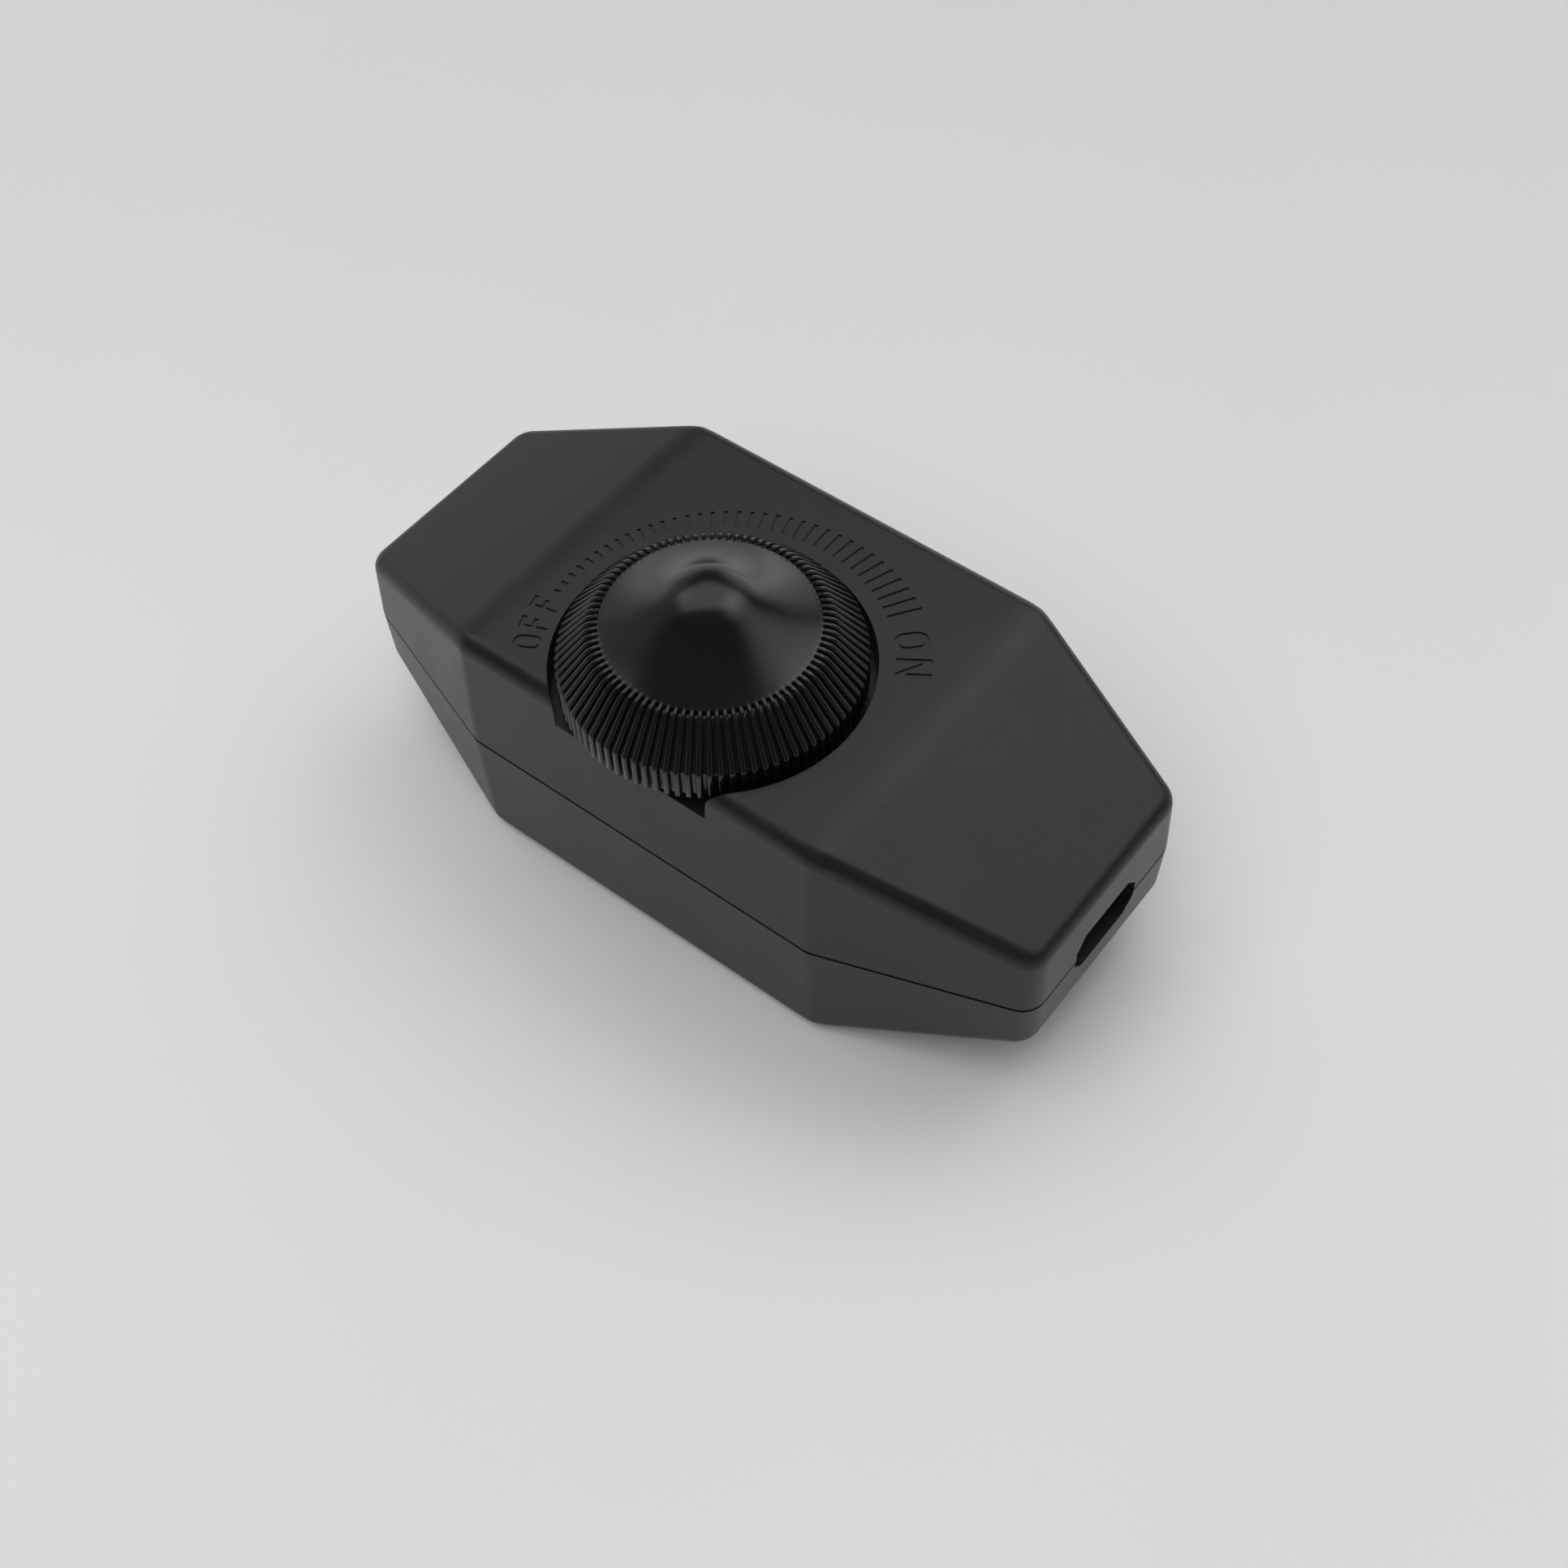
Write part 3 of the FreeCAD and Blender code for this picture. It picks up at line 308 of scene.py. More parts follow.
@dataclass(frozen=True)
class PaperLaminate:
    """Phenolic paper board: brown resin over pressed paper fibres, with a satin skin.

    Attributes:
        name: Material and surface.
        shade: Resin colour, sRGB hex.
        fibre: Colour of the paper fibres, sRGB hex.
        fibre_mm: Spacing of the fibres.
    """

    name: str
    shade: str
    fibre: str
    fibre_mm: float = 0.3

    # How the fibres are drawn out along x, y and z, their depth in mm, and the resin's gloss.
    STRETCH = (0.15, 1.0, 1.0)
    DEPTH_MM = 0.004
    ROUGHNESS = (0.42, 0.6)
    IOR = 1.55

    def material(self) -> bpy.types.Material:
        """Make the material.

        Returns:
            The new material.
        """
        made, tree, place = new_material(self.name)
        along = add_node(tree, "ShaderNodeMapping", {"Vector": place, "Scale": self.STRETCH}).outputs[0]
        fibres = noise(tree, along, self.fibre_mm, detail=5.0, distortion=0.8)
        shade = blend(tree, fibres, linear(self.shade), linear(self.fibre))
        roughness = remap(tree, fibres, NOISE_ALL, self.ROUGHNESS)
        set_surface(tree, fibres, self.DEPTH_MM, {
            "Base Color": shade, "Roughness": roughness, "IOR": self.IOR})
        return made


class Axis(Enum):
    """Axes of the shared frame, by their numbers."""

    ALONG_CORD = 0
    ACROSS_CORD = 1
    UP = 2


@dataclass(frozen=True)
class LeadedCase:
    """Lacquered or potted component case whose wires are tinned copper.

    The case ends at a distance from a middle along one axis, and what lies beyond is wire.

    Attributes:
        name: Material and surface.
        shade: Case colour, sRGB hex.
        axis: Axis that the case is measured along.
        middle_mm: Where the middle of the case is on that axis.
        half_mm: Half the length of the case on that axis.
        mirrored: Whether the axis is counted the same way on both sides of zero.
        bands: Code bands as (offset from the middle in mm, sRGB hex).
    """

    name: str
    shade: str
    axis: Axis
    middle_mm: float
    half_mm: float
    mirrored: bool = False
    bands: tuple[tuple[float, str], ...] = ()

    # Colour of the wires, how far past the case's end they start, and half the width of a code band.
    WIRE_SHADE = "#C9C7C2"
    WIRE_START_MM = 0.02
    BAND_HALF_MM = 0.28
    # Uneven lacquer: size and depth of its drips, how dark the deepest are, and its roughness.
    DRIP_MM = 1.6
    DRIP_DEPTH_MM = 0.02
    DARKEST = 0.72
    ROUGHNESS = (0.22, 0.38)

    def material(self) -> bpy.types.Material:
        """Make the material.

        Returns:
            The new material.
        """
        made, tree, place = new_material(self.name)
        run = add_node(tree, "ShaderNodeSeparateXYZ", {0: place}).outputs[self.axis.value]
        if self.mirrored:
            run = calculate(tree, "ABSOLUTE", run)
        offset = calculate(tree, "SUBTRACT", run, self.middle_mm * MM)
        away = calculate(tree, "ABSOLUTE", offset)
        wire = calculate(tree, "GREATER_THAN", away, (self.half_mm + self.WIRE_START_MM) * MM)
        drips = noise(tree, place, self.DRIP_MM, detail=3.0)
        darker = tuple(self.DARKEST * c for c in linear(self.shade)[:3]) + (1.0,)
        colour = blend(tree, drips, linear(self.shade), darker)
        for centre_mm, band in self.bands:
            on = calculate(tree, "COMPARE", offset, centre_mm * MM, self.BAND_HALF_MM * MM)
            colour = blend(tree, on, colour, linear(band))
        colour = blend(tree, wire, colour, linear(self.WIRE_SHADE))
        roughness = remap(tree, drips, NOISE_ALL, self.ROUGHNESS)
        set_surface(tree, drips, self.DRIP_DEPTH_MM, {
            "Base Color": colour, "Roughness": roughness, "Metallic": wire})
        return made


Finish = MouldedPlastic | Metal | PaperLaminate | LeadedCase


def dress(nodes: dict[str, Finish]) -> None:
    """Give CAD nodes their finishes.

    Args:
        nodes: Finish for each node's name.
    """
    made: dict[Finish, bpy.types.Material] = {}
    for name, finish in nodes.items():
        if finish not in made:
            made[finish] = finish.material()
        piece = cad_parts[name]
        piece.data.materials.clear()
        piece.data.materials.append(made[finish])
        log.info("%s: %s", name, made[finish].name)


def new_piece(name: str, mesh: bpy.types.Mesh) -> bpy.types.Object:
    """Put a mesh into the scene as a piece at the origin.

    Args:
        name: Name of the piece.
        mesh: Its mesh.

    Returns:
        The new object.
    """
    mesh.name = name
    piece = bpy.data.objects.new(name, mesh)
    bpy.context.scene.collection.objects.link(piece)
    return piece


def run_tree(piece: bpy.types.Object, tree: bpy.types.NodeTree, values: dict[str, object]) -> None:
    """Run a geometry tree on a piece and keep the result as its plain mesh.

    Args:
        piece: Object whose mesh goes into the tree.
        tree: Geometry tree with named inputs.
        values: Value of each named input.
    """
    modifier = piece.modifiers.new(tree.name, "NODES")
    modifier.node_group = tree
    named = {item.name: item.identifier for item in tree.interface.items_tree if item.in_out == "INPUT"}
    for name, value in values.items():
        modifier[named[name]] = value
    bpy.context.view_layer.update()
    shown = piece.evaluated_get(bpy.context.evaluated_depsgraph_get())
    mesh = bpy.data.meshes.new_from_object(shown)
    piece.modifiers.clear()
    piece.data = mesh
    mesh.name = piece.name


def new_tree(name: str, inputs: dict[str, str]) -> tuple[bpy.types.NodeTree, bpy.types.Node, bpy.types.Node]:
    """Start a geometry tree.

    Args:
        name: Name of the tree.
        inputs: Socket type of each named input besides the geometry.

    Returns:
        The tree, its input node and its output node.
    """
    tree = bpy.data.node_groups.new(name, "GeometryNodeTree")
    tree.interface.new_socket("Geometry", in_out="INPUT", socket_type="NodeSocketGeometry")
    for label, kind in inputs.items():
        tree.interface.new_socket(label, in_out="INPUT", socket_type=kind)
    tree.interface.new_socket("Geometry", in_out="OUTPUT", socket_type="NodeSocketGeometry")
    return tree, add_node(tree, "NodeGroupInput"), add_node(tree, "NodeGroupOutput")


def repeat_round_axis() -> bpy.types.NodeTree:
    """Build the tree that repeats a sector round an upright axis and welds the copies.

    Returns:
        The tree, with the inputs Copies, Axis, Weld and Finish.
    """
    tree, given, out = new_tree("repeat_round_axis", {
        "Copies": "NodeSocketInt", "Axis": "NodeSocketVector", "Weld": "NodeSocketFloat",
        "Finish": "NodeSocketMaterial"})
    points = add_node(tree, "GeometryNodePoints", {"Count": given.outputs["Copies"],
                                                   "Position": given.outputs["Axis"]})
    number = add_node(tree, "GeometryNodeInputIndex")
    step = calculate(tree, "DIVIDE", math.tau, given.outputs["Copies"])
    angle = calculate(tree, "MULTIPLY", number.outputs[0], step)
    turn = add_node(tree, "ShaderNodeCombineXYZ", {"Z": angle})
    copies = add_node(tree, "GeometryNodeInstanceOnPoints", {
        "Points": points.outputs[0], "Instance": given.outputs["Geometry"], "Rotation": turn.outputs[0]})
    real = add_node(tree, "GeometryNodeRealizeInstances", {0: copies.outputs[0]})
    welded = add_node(tree, "GeometryNodeMergeByDistance", {"Geometry": real.outputs[0],
                                                            "Distance": given.outputs["Weld"]})
    finish = add_node(tree, "GeometryNodeSetMaterial", {"Geometry": welded.outputs[0],
                                                        "Material": given.outputs["Finish"]})
    tree.links.new(finish.outputs[0], out.inputs[0])
    return tree


def cones_on_points() -> bpy.types.NodeTree:
    """Build the tree that stands a cone on every point of a mesh.

    Returns:
        The tree, with the inputs Foot, Top, Height, Sides and Finish.
    """
    tree, given, out = new_tree("cones_on_points", {
        "Foot": "NodeSocketFloat", "Top": "NodeSocketFloat", "Height": "NodeSocketFloat",
        "Sides": "NodeSocketInt", "Finish": "NodeSocketMaterial"})
    cone = add_node(tree, "GeometryNodeMeshCone", {
        "Vertices": given.outputs["Sides"], "Radius Bottom": given.outputs["Foot"],
        "Radius Top": given.outputs["Top"], "Depth": given.outputs["Height"]})
    copies = add_node(tree, "GeometryNodeInstanceOnPoints", {
        "Points": given.outputs["Geometry"], "Instance": cone.outputs[0]})
    real = add_node(tree, "GeometryNodeRealizeInstances", {0: copies.outputs[0]})
    finish = add_node(tree, "GeometryNodeSetMaterial", {"Geometry": real.outputs[0],
                                                        "Material": given.outputs["Finish"]})
    tree.links.new(finish.outputs[0], out.inputs[0])
    return tree


# ABS from a spark-eroded mould: charcoal, dull, with a fine even grain.
# The real grain of about 0.1 mm is drawn coarser so that it shows in the render.
HOUSING_ABS = MouldedPlastic("abs_moulded_charcoal_cover", "#1C1D1F", "#2C2D30", 0.36,
                             MouldTexture.SPARK_ERODED, ior=1.45)
BASE_ABS = MouldedPlastic("abs_moulded_charcoal_base", "#1C1D1F", "#2C2D30", 0.38,
                          MouldTexture.SPARK_ERODED, ior=1.47)
# ABS from a polished mould: deeper black, half glossy, rubbed smooth on the crests of the knurl.
WHEEL_ABS = MouldedPlastic("abs_moulded_black_wheel", "#161617", "#1D1D1E", 0.18,
                           MouldTexture.POLISHED, ior=1.51, worn=True)
# Phenolic of the sealed switch: dull brown-black.
SWITCH_PHENOLIC = MouldedPlastic("phenolic_moulded_switch", "#3A3633", "#4A443F", 0.5, MouldTexture.SATIN)
# Acetal: milky and waxy.
ROTOR_ACETAL = MouldedPlastic("acetal_moulded_rotor", "#DCD8CA", "#EAE7DC", 0.38,
                              MouldTexture.SATIN, ior=1.48)
# Filled epoxy of a power package: near black and dull.
PACKAGE_EPOXY = MouldedPlastic("epoxy_moulded_package", "#222223", "#303031", 0.55, MouldTexture.SPARK_ERODED)
# Nylon of the wire terminals: green, slightly waxy.
TERMINAL_NYLON = MouldedPlastic("nylon_moulded_terminal", "#2E6B3F", "#3C7D4D", 0.42,
                                MouldTexture.SATIN, ior=1.53)
# Nylon of the cord clamps: plain grey.
CLAMP_NYLON = MouldedPlastic("nylon_moulded_clamp", "#57585A", "#66676A", 0.45, MouldTexture.SATIN, ior=1.53)
# Powdered iron under grey varnish.
CORE_POWDER = MouldedPlastic("iron_powder_varnished_core", "#4B4E49", "#5C5F58", 0.5, MouldTexture.SATIN)
# Zinc plate over steel: bluish and slightly cloudy.
ZINC_STEEL = Metal("steel_zinc_plated", "#C3C6C9", "#A3A7AC", 0.32, MetalSurface.PLATED)
# Die-cast zinc of the shaft and bushing: grey with a grainy skin.
CAST_ZINC = Metal("zinc_die_cast", "#B4B3AF", "#96958F", 0.42, MetalSurface.CAST)
# Brass from drawn strip: warm yellow, fine lengthwise lines.
STRIP_BRASS = Metal("brass_drawn_strip", "#C9A55B", "#A98743", 0.3, MetalSurface.DRAWN)
# Tin over copper: soft white metal.
TINNED_COPPER = Metal("copper_tinned", "#CDCBC6", "#B3B0A9", 0.34, MetalSurface.PLATED)
# Rolled aluminium plate as it comes from the mill.
MILL_ALUMINIUM = Metal("aluminium_mill_plate", "#C9CBCE", "#B2B5B9", 0.36, MetalSurface.DRAWN)
# Copper wire under clear red-brown enamel.
ENAMELLED_COPPER = Metal("copper_enamelled_wire", "#A8562B", "#8B421E", 0.28, MetalSurface.PLATED)
# Tin solder: bright, with frosty patches.
TIN_SOLDER = Metal("solder_tin", "#D2D3D3", "#B9BBBC", 0.24, MetalSurface.CAST)
# Phenolic paper of the board, and the darker wafer that carries the carbon track.
BOARD_LAMINATE = PaperLaminate("phenolic_paper_board", "#8A6434", "#A67C45")
WAFER_LAMINATE = PaperLaminate("phenolic_paper_wafer", "#6B4A24", "#835D31")


@dataclass
class Housing:
    """The two moulded shells with what holds them and the cords.

    Attributes:
        finishes: Finish of each node.
    """

    finishes: dict[str, Finish] = field(default_factory=lambda: {
        "top_cover": HOUSING_ABS, "base_shell": BASE_ABS, "housing_screws": ZINC_STEEL,
        "input_cord_clamp": CLAMP_NYLON, "output_cord_clamp": CLAMP_NYLON, "clamp_screws": ZINC_STEEL})

    def dress(self) -> None:
        """Give the shells, their screws and the cord clamps their finishes."""
        dress(self.finishes)


@dataclass
class Thumbwheel:
    """Knurled wheel with a hollow bell in its middle, moulded in one piece.

    Lengths are in mm, and levels are heights above the surface that the dimmer rests on.

    Attributes:
        axis_y: Where the axis stands.
        radius: Outer radius over the crests.
        bottom: Level of the lower edge.
        shoulder: Level where the side turns into the cone.
        ring_radius: Radius where the ridges end and the bell starts.
        ring: Level of the ends of the ridges.
        ring_round: Rounding between the cone and the ends of the ridges.
        cone_angle: Slope of the cone, in degrees.
        bell_hollow: Radius of the bell's hollow flank.
        bell_angle: Slope of the flank where the tip starts, in degrees.
        tip_round: Radius of the tip.
        tip_flat: Radius of the small flat on the tip.
        tip: Level of the tip.
        ridges: Number of ridges.
        groove_depth: Depth of the grooves between them.
        shoulder_round: Rounding between the side and the cone.
        edge_round: Rounding of the lower edge.
        wall: Thickness of the skin.
        hub_radius: Radius of the hub.
        bore_radius: Radius of the shaft's bore.
        bore_flat: Distance of the bore's flat from the axis.
        bore_top: Level where the bore ends.
    """

    axis_y: float = -5.8
    radius: float = 14.3
    bottom: float = 26.95
    shoulder: float = 30.2
    ring_radius: float = 10.05
    ring: float = 34.05
    ring_round: float = 2.0
    cone_angle: float = 49.0
    bell_hollow: float = 30.4
    bell_angle: float = 36.0
    tip_round: float = 6.0
    tip_flat: float = 0.5
    tip: float = 38.6
    ridges: int = 90
    groove_depth: float = 0.45
    shoulder_round: float = 0.5
    edge_round: float = 0.25
    wall: float = 1.8
    hub_radius: float = 5.0
    bore_radius: float = 3.0
    bore_flat: float = 1.6
    bore_top: float = 34.05

    # Section of one ridge: place across the pitch, and share of the groove's depth there.
    RIDGE = ((-0.5, 1.0), (-0.36, 1.0), (-0.31, 0.6), (-0.25, 0.14), (-0.18, 0.0), (0.0, 0.0),
             (0.18, 0.0), (0.25, 0.14), (0.31, 0.6), (0.36, 1.0), (0.5, 1.0))
    # Value of the attribute crest away from the ridges.
    OFF_RIDGE = 0.5
    # Number of spans in each curve of the profile.
    EDGE_SPANS = 2
    SHOULDER_SPANS = 4
    END_SPANS = 6
    FLANK_SPANS = 16
    TIP_SPANS = 10
    # Distances under which points are welded, in metres: in a sector, between sectors, and at the bore.
    SECTOR_WELD = 1e-7
    COPY_WELD = 1e-6
    BORE_WELD = 2e-6
    # Angle between two faces from which their edge stays sharp, in degrees.
    SHARP_ANGLE = 50.0

    @staticmethod
    def rounded(before: tuple[float, float], corner: tuple[float, float], after: tuple[float, float],
                radius: float, steps: int) -> list[tuple[float, float]]:
        """Points of an arc that rounds a corner of the profile.

        Args:
            before: Point of the profile before the corner.
            corner: The corner.
            after: Point of the profile after the corner.
            radius: Radius of the arc.
            steps: Number of spans.

        Returns:
            The arc's points, in order.
        """
        middle = Vector(corner)
        back = (Vector(before) - middle).normalized()
        on = (Vector(after) - middle).normalized()
        half = back.angle(on) / 2
        centre = middle + (back + on).normalized() * (radius / math.sin(half))
        start = middle + back * (radius / math.tan(half)) - centre
        end = middle + on * (radius / math.tan(half)) - centre
        turn = start.angle_signed(end)
        points = []
        for step in range(steps + 1):
            angle = -turn * step / steps
            spot = centre + Matrix.Rotation(angle, 2) @ start
            points.append((spot.x, spot.y))
        return points

    def bell(self) -> list[tuple[float, float]]:
        """Profile of the bell from its edge to its tip, as radius and level.

        Returns:
            The points, in order.
        """
        slope = math.radians(self.bell_angle)
        turn = Vector((self.tip_flat + self.tip_round * math.sin(slope),
                       self.tip - self.tip_round * (1 - math.cos(slope))))
        edge = Vector((self.ring_radius, self.ring))
        chord = turn - edge
        left = Vector((-chord.y, chord.x)).normalized()
        height = math.sqrt(self.bell_hollow ** 2 - (chord.length / 2) ** 2)
        centre = (edge + turn) / 2 - left * height
        start = edge - centre
        span = start.angle_signed(turn - centre)
        flank = [centre + Matrix.Rotation(-span * step / self.FLANK_SPANS, 2) @ start
                 for step in range(self.FLANK_SPANS + 1)]
        cap = []
        for step in reversed(range(self.TIP_SPANS)):
            lean = slope * step / self.TIP_SPANS
            cap.append((self.tip_flat + self.tip_round * math.sin(lean),
                        self.tip - self.tip_round * (1 - math.cos(lean))))
        return [(spot.x, spot.y) for spot in flank] + cap + [(0.0, self.tip)]

    def profile(self) -> list[tuple[float, float, float, float]]:
        """Profile of the wheel from the hub's foot, under the skin, over the knurl and up to the tip.

        Returns:
            Radius and level of each point, and how far a groove sinks there towards the axis and downwards,
            as shares of its depth.
        """
        inner = self.radius - self.wall
        ceiling = self.ring - self.wall
        low = (self.radius, self.bottom)
        shoulder = (self.radius, self.shoulder)
        cone = math.radians(self.cone_angle)
        ends = []
        for step in range(self.END_SPANS + 1):
            slope = cone * (1 - step / self.END_SPANS)
            reach = self.ring_radius + self.ring_round * math.sin(slope)
            level = self.ring - self.ring_round * (1 - math.cos(slope))
            ends.append((reach, level, math.sin(slope), math.cos(slope)))
        under = [(self.hub_radius, self.bottom), (self.hub_radius, ceiling), (self.ring_radius, ceiling),
                 (inner, self.shoulder - self.wall / 2), (inner, self.bottom)]
        side = self.rounded((inner, self.bottom), low, shoulder, self.edge_round, self.EDGE_SPANS)
        turn = self.rounded(low, shoulder, ends[0][:2], self.shoulder_round, self.SHOULDER_SPANS)
        turned = []
        for step, spot in enumerate(turn):
            slope = math.pi / 2 + (cone - math.pi / 2) * step / (len(turn) - 1)
            turned.append((*spot, math.sin(slope), math.cos(slope)))
        return ([(*spot, 0.0, 0.0) for spot in under] + [(*spot, 1.0, 0.0) for spot in side] + turned + ends
                + [(*spot, 0.0, 0.0) for spot in self.bell()])

    def sector(self) -> bpy.types.Mesh:
        """Mesh of one ridge and all that lies above and below it, about an axis at the origin.

        Returns:
            The mesh, with the attribute crest: 1 on a ridge's crest and 0 in a groove.
        """
        pitch = math.tau / self.ridges
        form = bmesh.new()
        layer = form.verts.layers.float.new("crest")
        rows = []
        for radius, level, inwards, downwards in self.profile():
            row = []
            for across, sunk in self.RIDGE:
                reach = (radius - self.groove_depth * inwards * sunk) * MM
                height = (level - self.groove_depth * downwards * sunk) * MM
                angle = across * pitch
                vert = form.verts.new((reach * math.cos(angle), reach * math.sin(angle), height))
                vert[layer] = 1 - sunk if inwards or downwards else self.OFF_RIDGE
                row.append(vert)
            rows.append(row)
        for below, above in zip(rows, rows[1:]):
            for column in range(len(self.RIDGE) - 1):
                form.faces.new((below[column], below[column + 1], above[column + 1], above[column]))
        bmesh.ops.remove_doubles(form, verts=form.verts, dist=self.SECTOR_WELD)
        mesh = bpy.data.meshes.new("thumbwheel_sector")
        form.to_mesh(mesh)
        form.free()
        return mesh

    def close_bore(self, mesh: bpy.types.Mesh) -> None:
        """Add the hub's foot and the flatted bore to the repeated sectors.

        Args:
            mesh: Mesh of the wheel, open at the hub's foot.
        """
        form = bmesh.new()
        form.from_mesh(mesh)
        pitch = math.tau / self.ridges
        angles = [(ridge + across) * pitch for ridge in range(self.ridges) for across, _ in self.RIDGE[:-1]]
        rings = ((self.hub_radius, self.bottom, False), (self.bore_radius, self.bottom, True),
                 (self.bore_radius, self.bore_top, True))
        rows = []
        for radius, level, flatted in rings:
            row = []
            for angle in angles:
                reach = radius
                if flatted and math.sin(angle) * radius > self.bore_flat:
                    reach = self.bore_flat / math.sin(angle)
                across = reach * MM * math.cos(angle)
                along = self.axis_y * MM + reach * MM * math.sin(angle)
                row.append(form.verts.new((across, along, level * MM)))
            rows.append(row)
        count = len(angles)
        for below, above in zip(rows, rows[1:]):
            for column in range(count):
                after = (column + 1) % count
                form.faces.new((below[column], above[column], above[after], below[after]))
        form.faces.new(rows[-1])
        bmesh.ops.remove_doubles(form, verts=form.verts, dist=self.BORE_WELD)
        bmesh.ops.recalc_face_normals(form, faces=form.faces)
        for face in form.faces:
            face.smooth = True
        form.to_mesh(mesh)
        form.free()
        mesh.set_sharp_from_angle(angle=math.radians(self.SHARP_ANGLE))

    def build(self) -> bpy.types.Object:
        """Build the wheel and put it in the place of its CAD node.

        Returns:
            The wheel.
        """
        wheel = new_piece("thumbwheel_knob", self.sector())
        finish = WHEEL_ABS.material()
        run_tree(wheel, repeat_round_axis(), {"Copies": self.ridges, "Axis": (0.0, self.axis_y * MM, 0.0),
                                              "Weld": self.COPY_WELD, "Finish": finish})
        self.close_bore(wheel.data)
        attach(wheel, "thumbwheel")
        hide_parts("control_knob")
        log.info("%s: %d faces, %s", wheel.name, len(wheel.data.polygons), finish.name)
        return wheel


@dataclass
class Potentiometer:
    """Potentiometer with a switch behind it, which the thumbwheel turns.

    Attributes:
        finishes: Finish of each node.
    """

    finishes: dict[str, Finish] = field(default_factory=lambda: {
        "pot_shaft": CAST_ZINC, "pot_rotor": ROTOR_ACETAL, "pot_wiper": STRIP_BRASS, "pot_bushing": CAST_ZINC,
        "pot_can": ZINC_STEEL, "pot_wafer": WAFER_LAMINATE, "pot_terminals": TINNED_COPPER,
        "pot_switch": SWITCH_PHENOLIC, "pot_switch_pins": TINNED_COPPER})

    def dress(self) -> None:
        """Give the potentiometer's pieces their finishes."""
        dress(self.finishes)


@dataclass
class CircuitBoard:
    """Board with the power switch, its filter, the firing circuit and the wire terminals.

    Lengths are in mm.

    Attributes:
        finishes: Finish of each node.
        soldered: Nodes whose wires are soldered under the board.
        underside: Level of the board's lower face.
        joint_height: Height of a soldered joint.
        joint_radius: Radius of a soldered joint at the board.
        joint_sides: Number of sides of a soldered joint.
        wire_radius: Radius of a soldered joint at its wire.
        wire_gap: Distance under which points belong to one wire.
    """

    finishes: dict[str, Finish] = field(default_factory=lambda: {
        "circuit_board": BOARD_LAMINATE, "board_screws": ZINC_STEEL, "heat_sink": MILL_ALUMINIUM,
        "triac_frame": TINNED_COPPER, "triac_case": PACKAGE_EPOXY, "triac_screw": ZINC_STEEL,
        "choke_core": CORE_POWDER, "choke_winding": ENAMELLED_COPPER,
        "filter_capacitor": LeadedCase("capacitor_potted_yellow", "#C79A2B", Axis.UP,
                                       middle_mm=13.0, half_mm=6.0),
        "timing_capacitor": LeadedCase("capacitor_dipped_brown", "#8E3F22", Axis.UP,
                                       middle_mm=9.75, half_mm=2.75),
        "resistors": LeadedCase("resistor_lacquered", "#C8AE84", Axis.ALONG_CORD,
                                middle_mm=13.0, half_mm=3.15, mirrored=True,
                                bands=((-2.1, "#7A3B1E"), (-1.0, "#1C1C1C"), (0.1, "#C9852C"),
                                       (2.0, "#B9952F"))),
        "fuse": LeadedCase("fuse_lacquered_green", "#6E8F6B", Axis.ACROSS_CORD,
                           middle_mm=-5.85, half_mm=2.5),
        "diac": LeadedCase("diac_lacquered_blue", "#4E68A0", Axis.ALONG_CORD,
                           middle_mm=10.1, half_mm=2.0, bands=((1.4, "#1C1C1C"),)),
        "input_terminal": TERMINAL_NYLON, "output_terminal": TERMINAL_NYLON,
        "terminal_cages": STRIP_BRASS, "terminal_screws": ZINC_STEEL})
    soldered: tuple[str, ...] = ("pot_terminals", "pot_switch_pins", "triac_frame", "filter_capacitor",
                                 "timing_capacitor", "resistors", "fuse", "diac")
    underside: float = 5.4
    joint_height: float = 0.8
    joint_radius: float = 0.95
    joint_sides: int = 16
    wire_radius: float = 0.42
    wire_gap: float = 1.0

    def wire_tails(self) -> list[Vector]:
        """Find where the wires come out under the board.

        Returns:
            The middle of each wire's end, at the foot of its soldered joint.
        """
        level = (self.underside - self.joint_height) * MM
        tails = []
        for name in self.soldered:
            groups: list[list[Vector]] = []
            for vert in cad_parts[name].data.vertices:
                if vert.co.z > level:
                    continue
                near = [group for group in groups if (group[0].xy - vert.co.xy).length < self.wire_gap * MM]
                if near:
                    near[0].append(vert.co.copy())
                else:
                    groups.append([vert.co.copy()])
            for group in groups:
                low = Vector((min(v.x for v in group), min(v.y for v in group)))
                high = Vector((max(v.x for v in group), max(v.y for v in group)))
                tails.append(((low + high) / 2).to_3d() + Vector((0, 0, level)))
        return tails

    def solder(self) -> bpy.types.Object:
        """Build the soldered joints under the board.

        Returns:
            The joints as one piece.
        """
        mesh = bpy.data.meshes.new("solder_joints")
        mesh.from_pydata(self.wire_tails(), [], [])
        joints = new_piece("solder_joints", mesh)
        run_tree(joints, cones_on_points(), {"Foot": self.wire_radius * MM, "Top": self.joint_radius * MM,
                                             "Height": self.joint_height * MM, "Sides": self.joint_sides,
                                             "Finish": TIN_SOLDER.material()})
        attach(joints, "housing")
        log.info("%s: %d faces", joints.name, len(joints.data.polygons))
        return joints

    def dress(self) -> None:
        """Give the board and its components their finishes."""
        dress(self.finishes)


@dataclass(frozen=True)
class SoftLight:
    """Soft round patch of light in the distance, placed as the camera sees it.

    Attributes:
        aside: How far its direction leans to the camera's right.
        beyond: How far it leans away from the camera, on the level.
        up: How far it leans up.
        edge: Angle from its middle to its edge, in degrees.
        strength: Strength in its middle.
    """

    aside: float
    beyond: float
    up: float
    edge: float
    strength: float


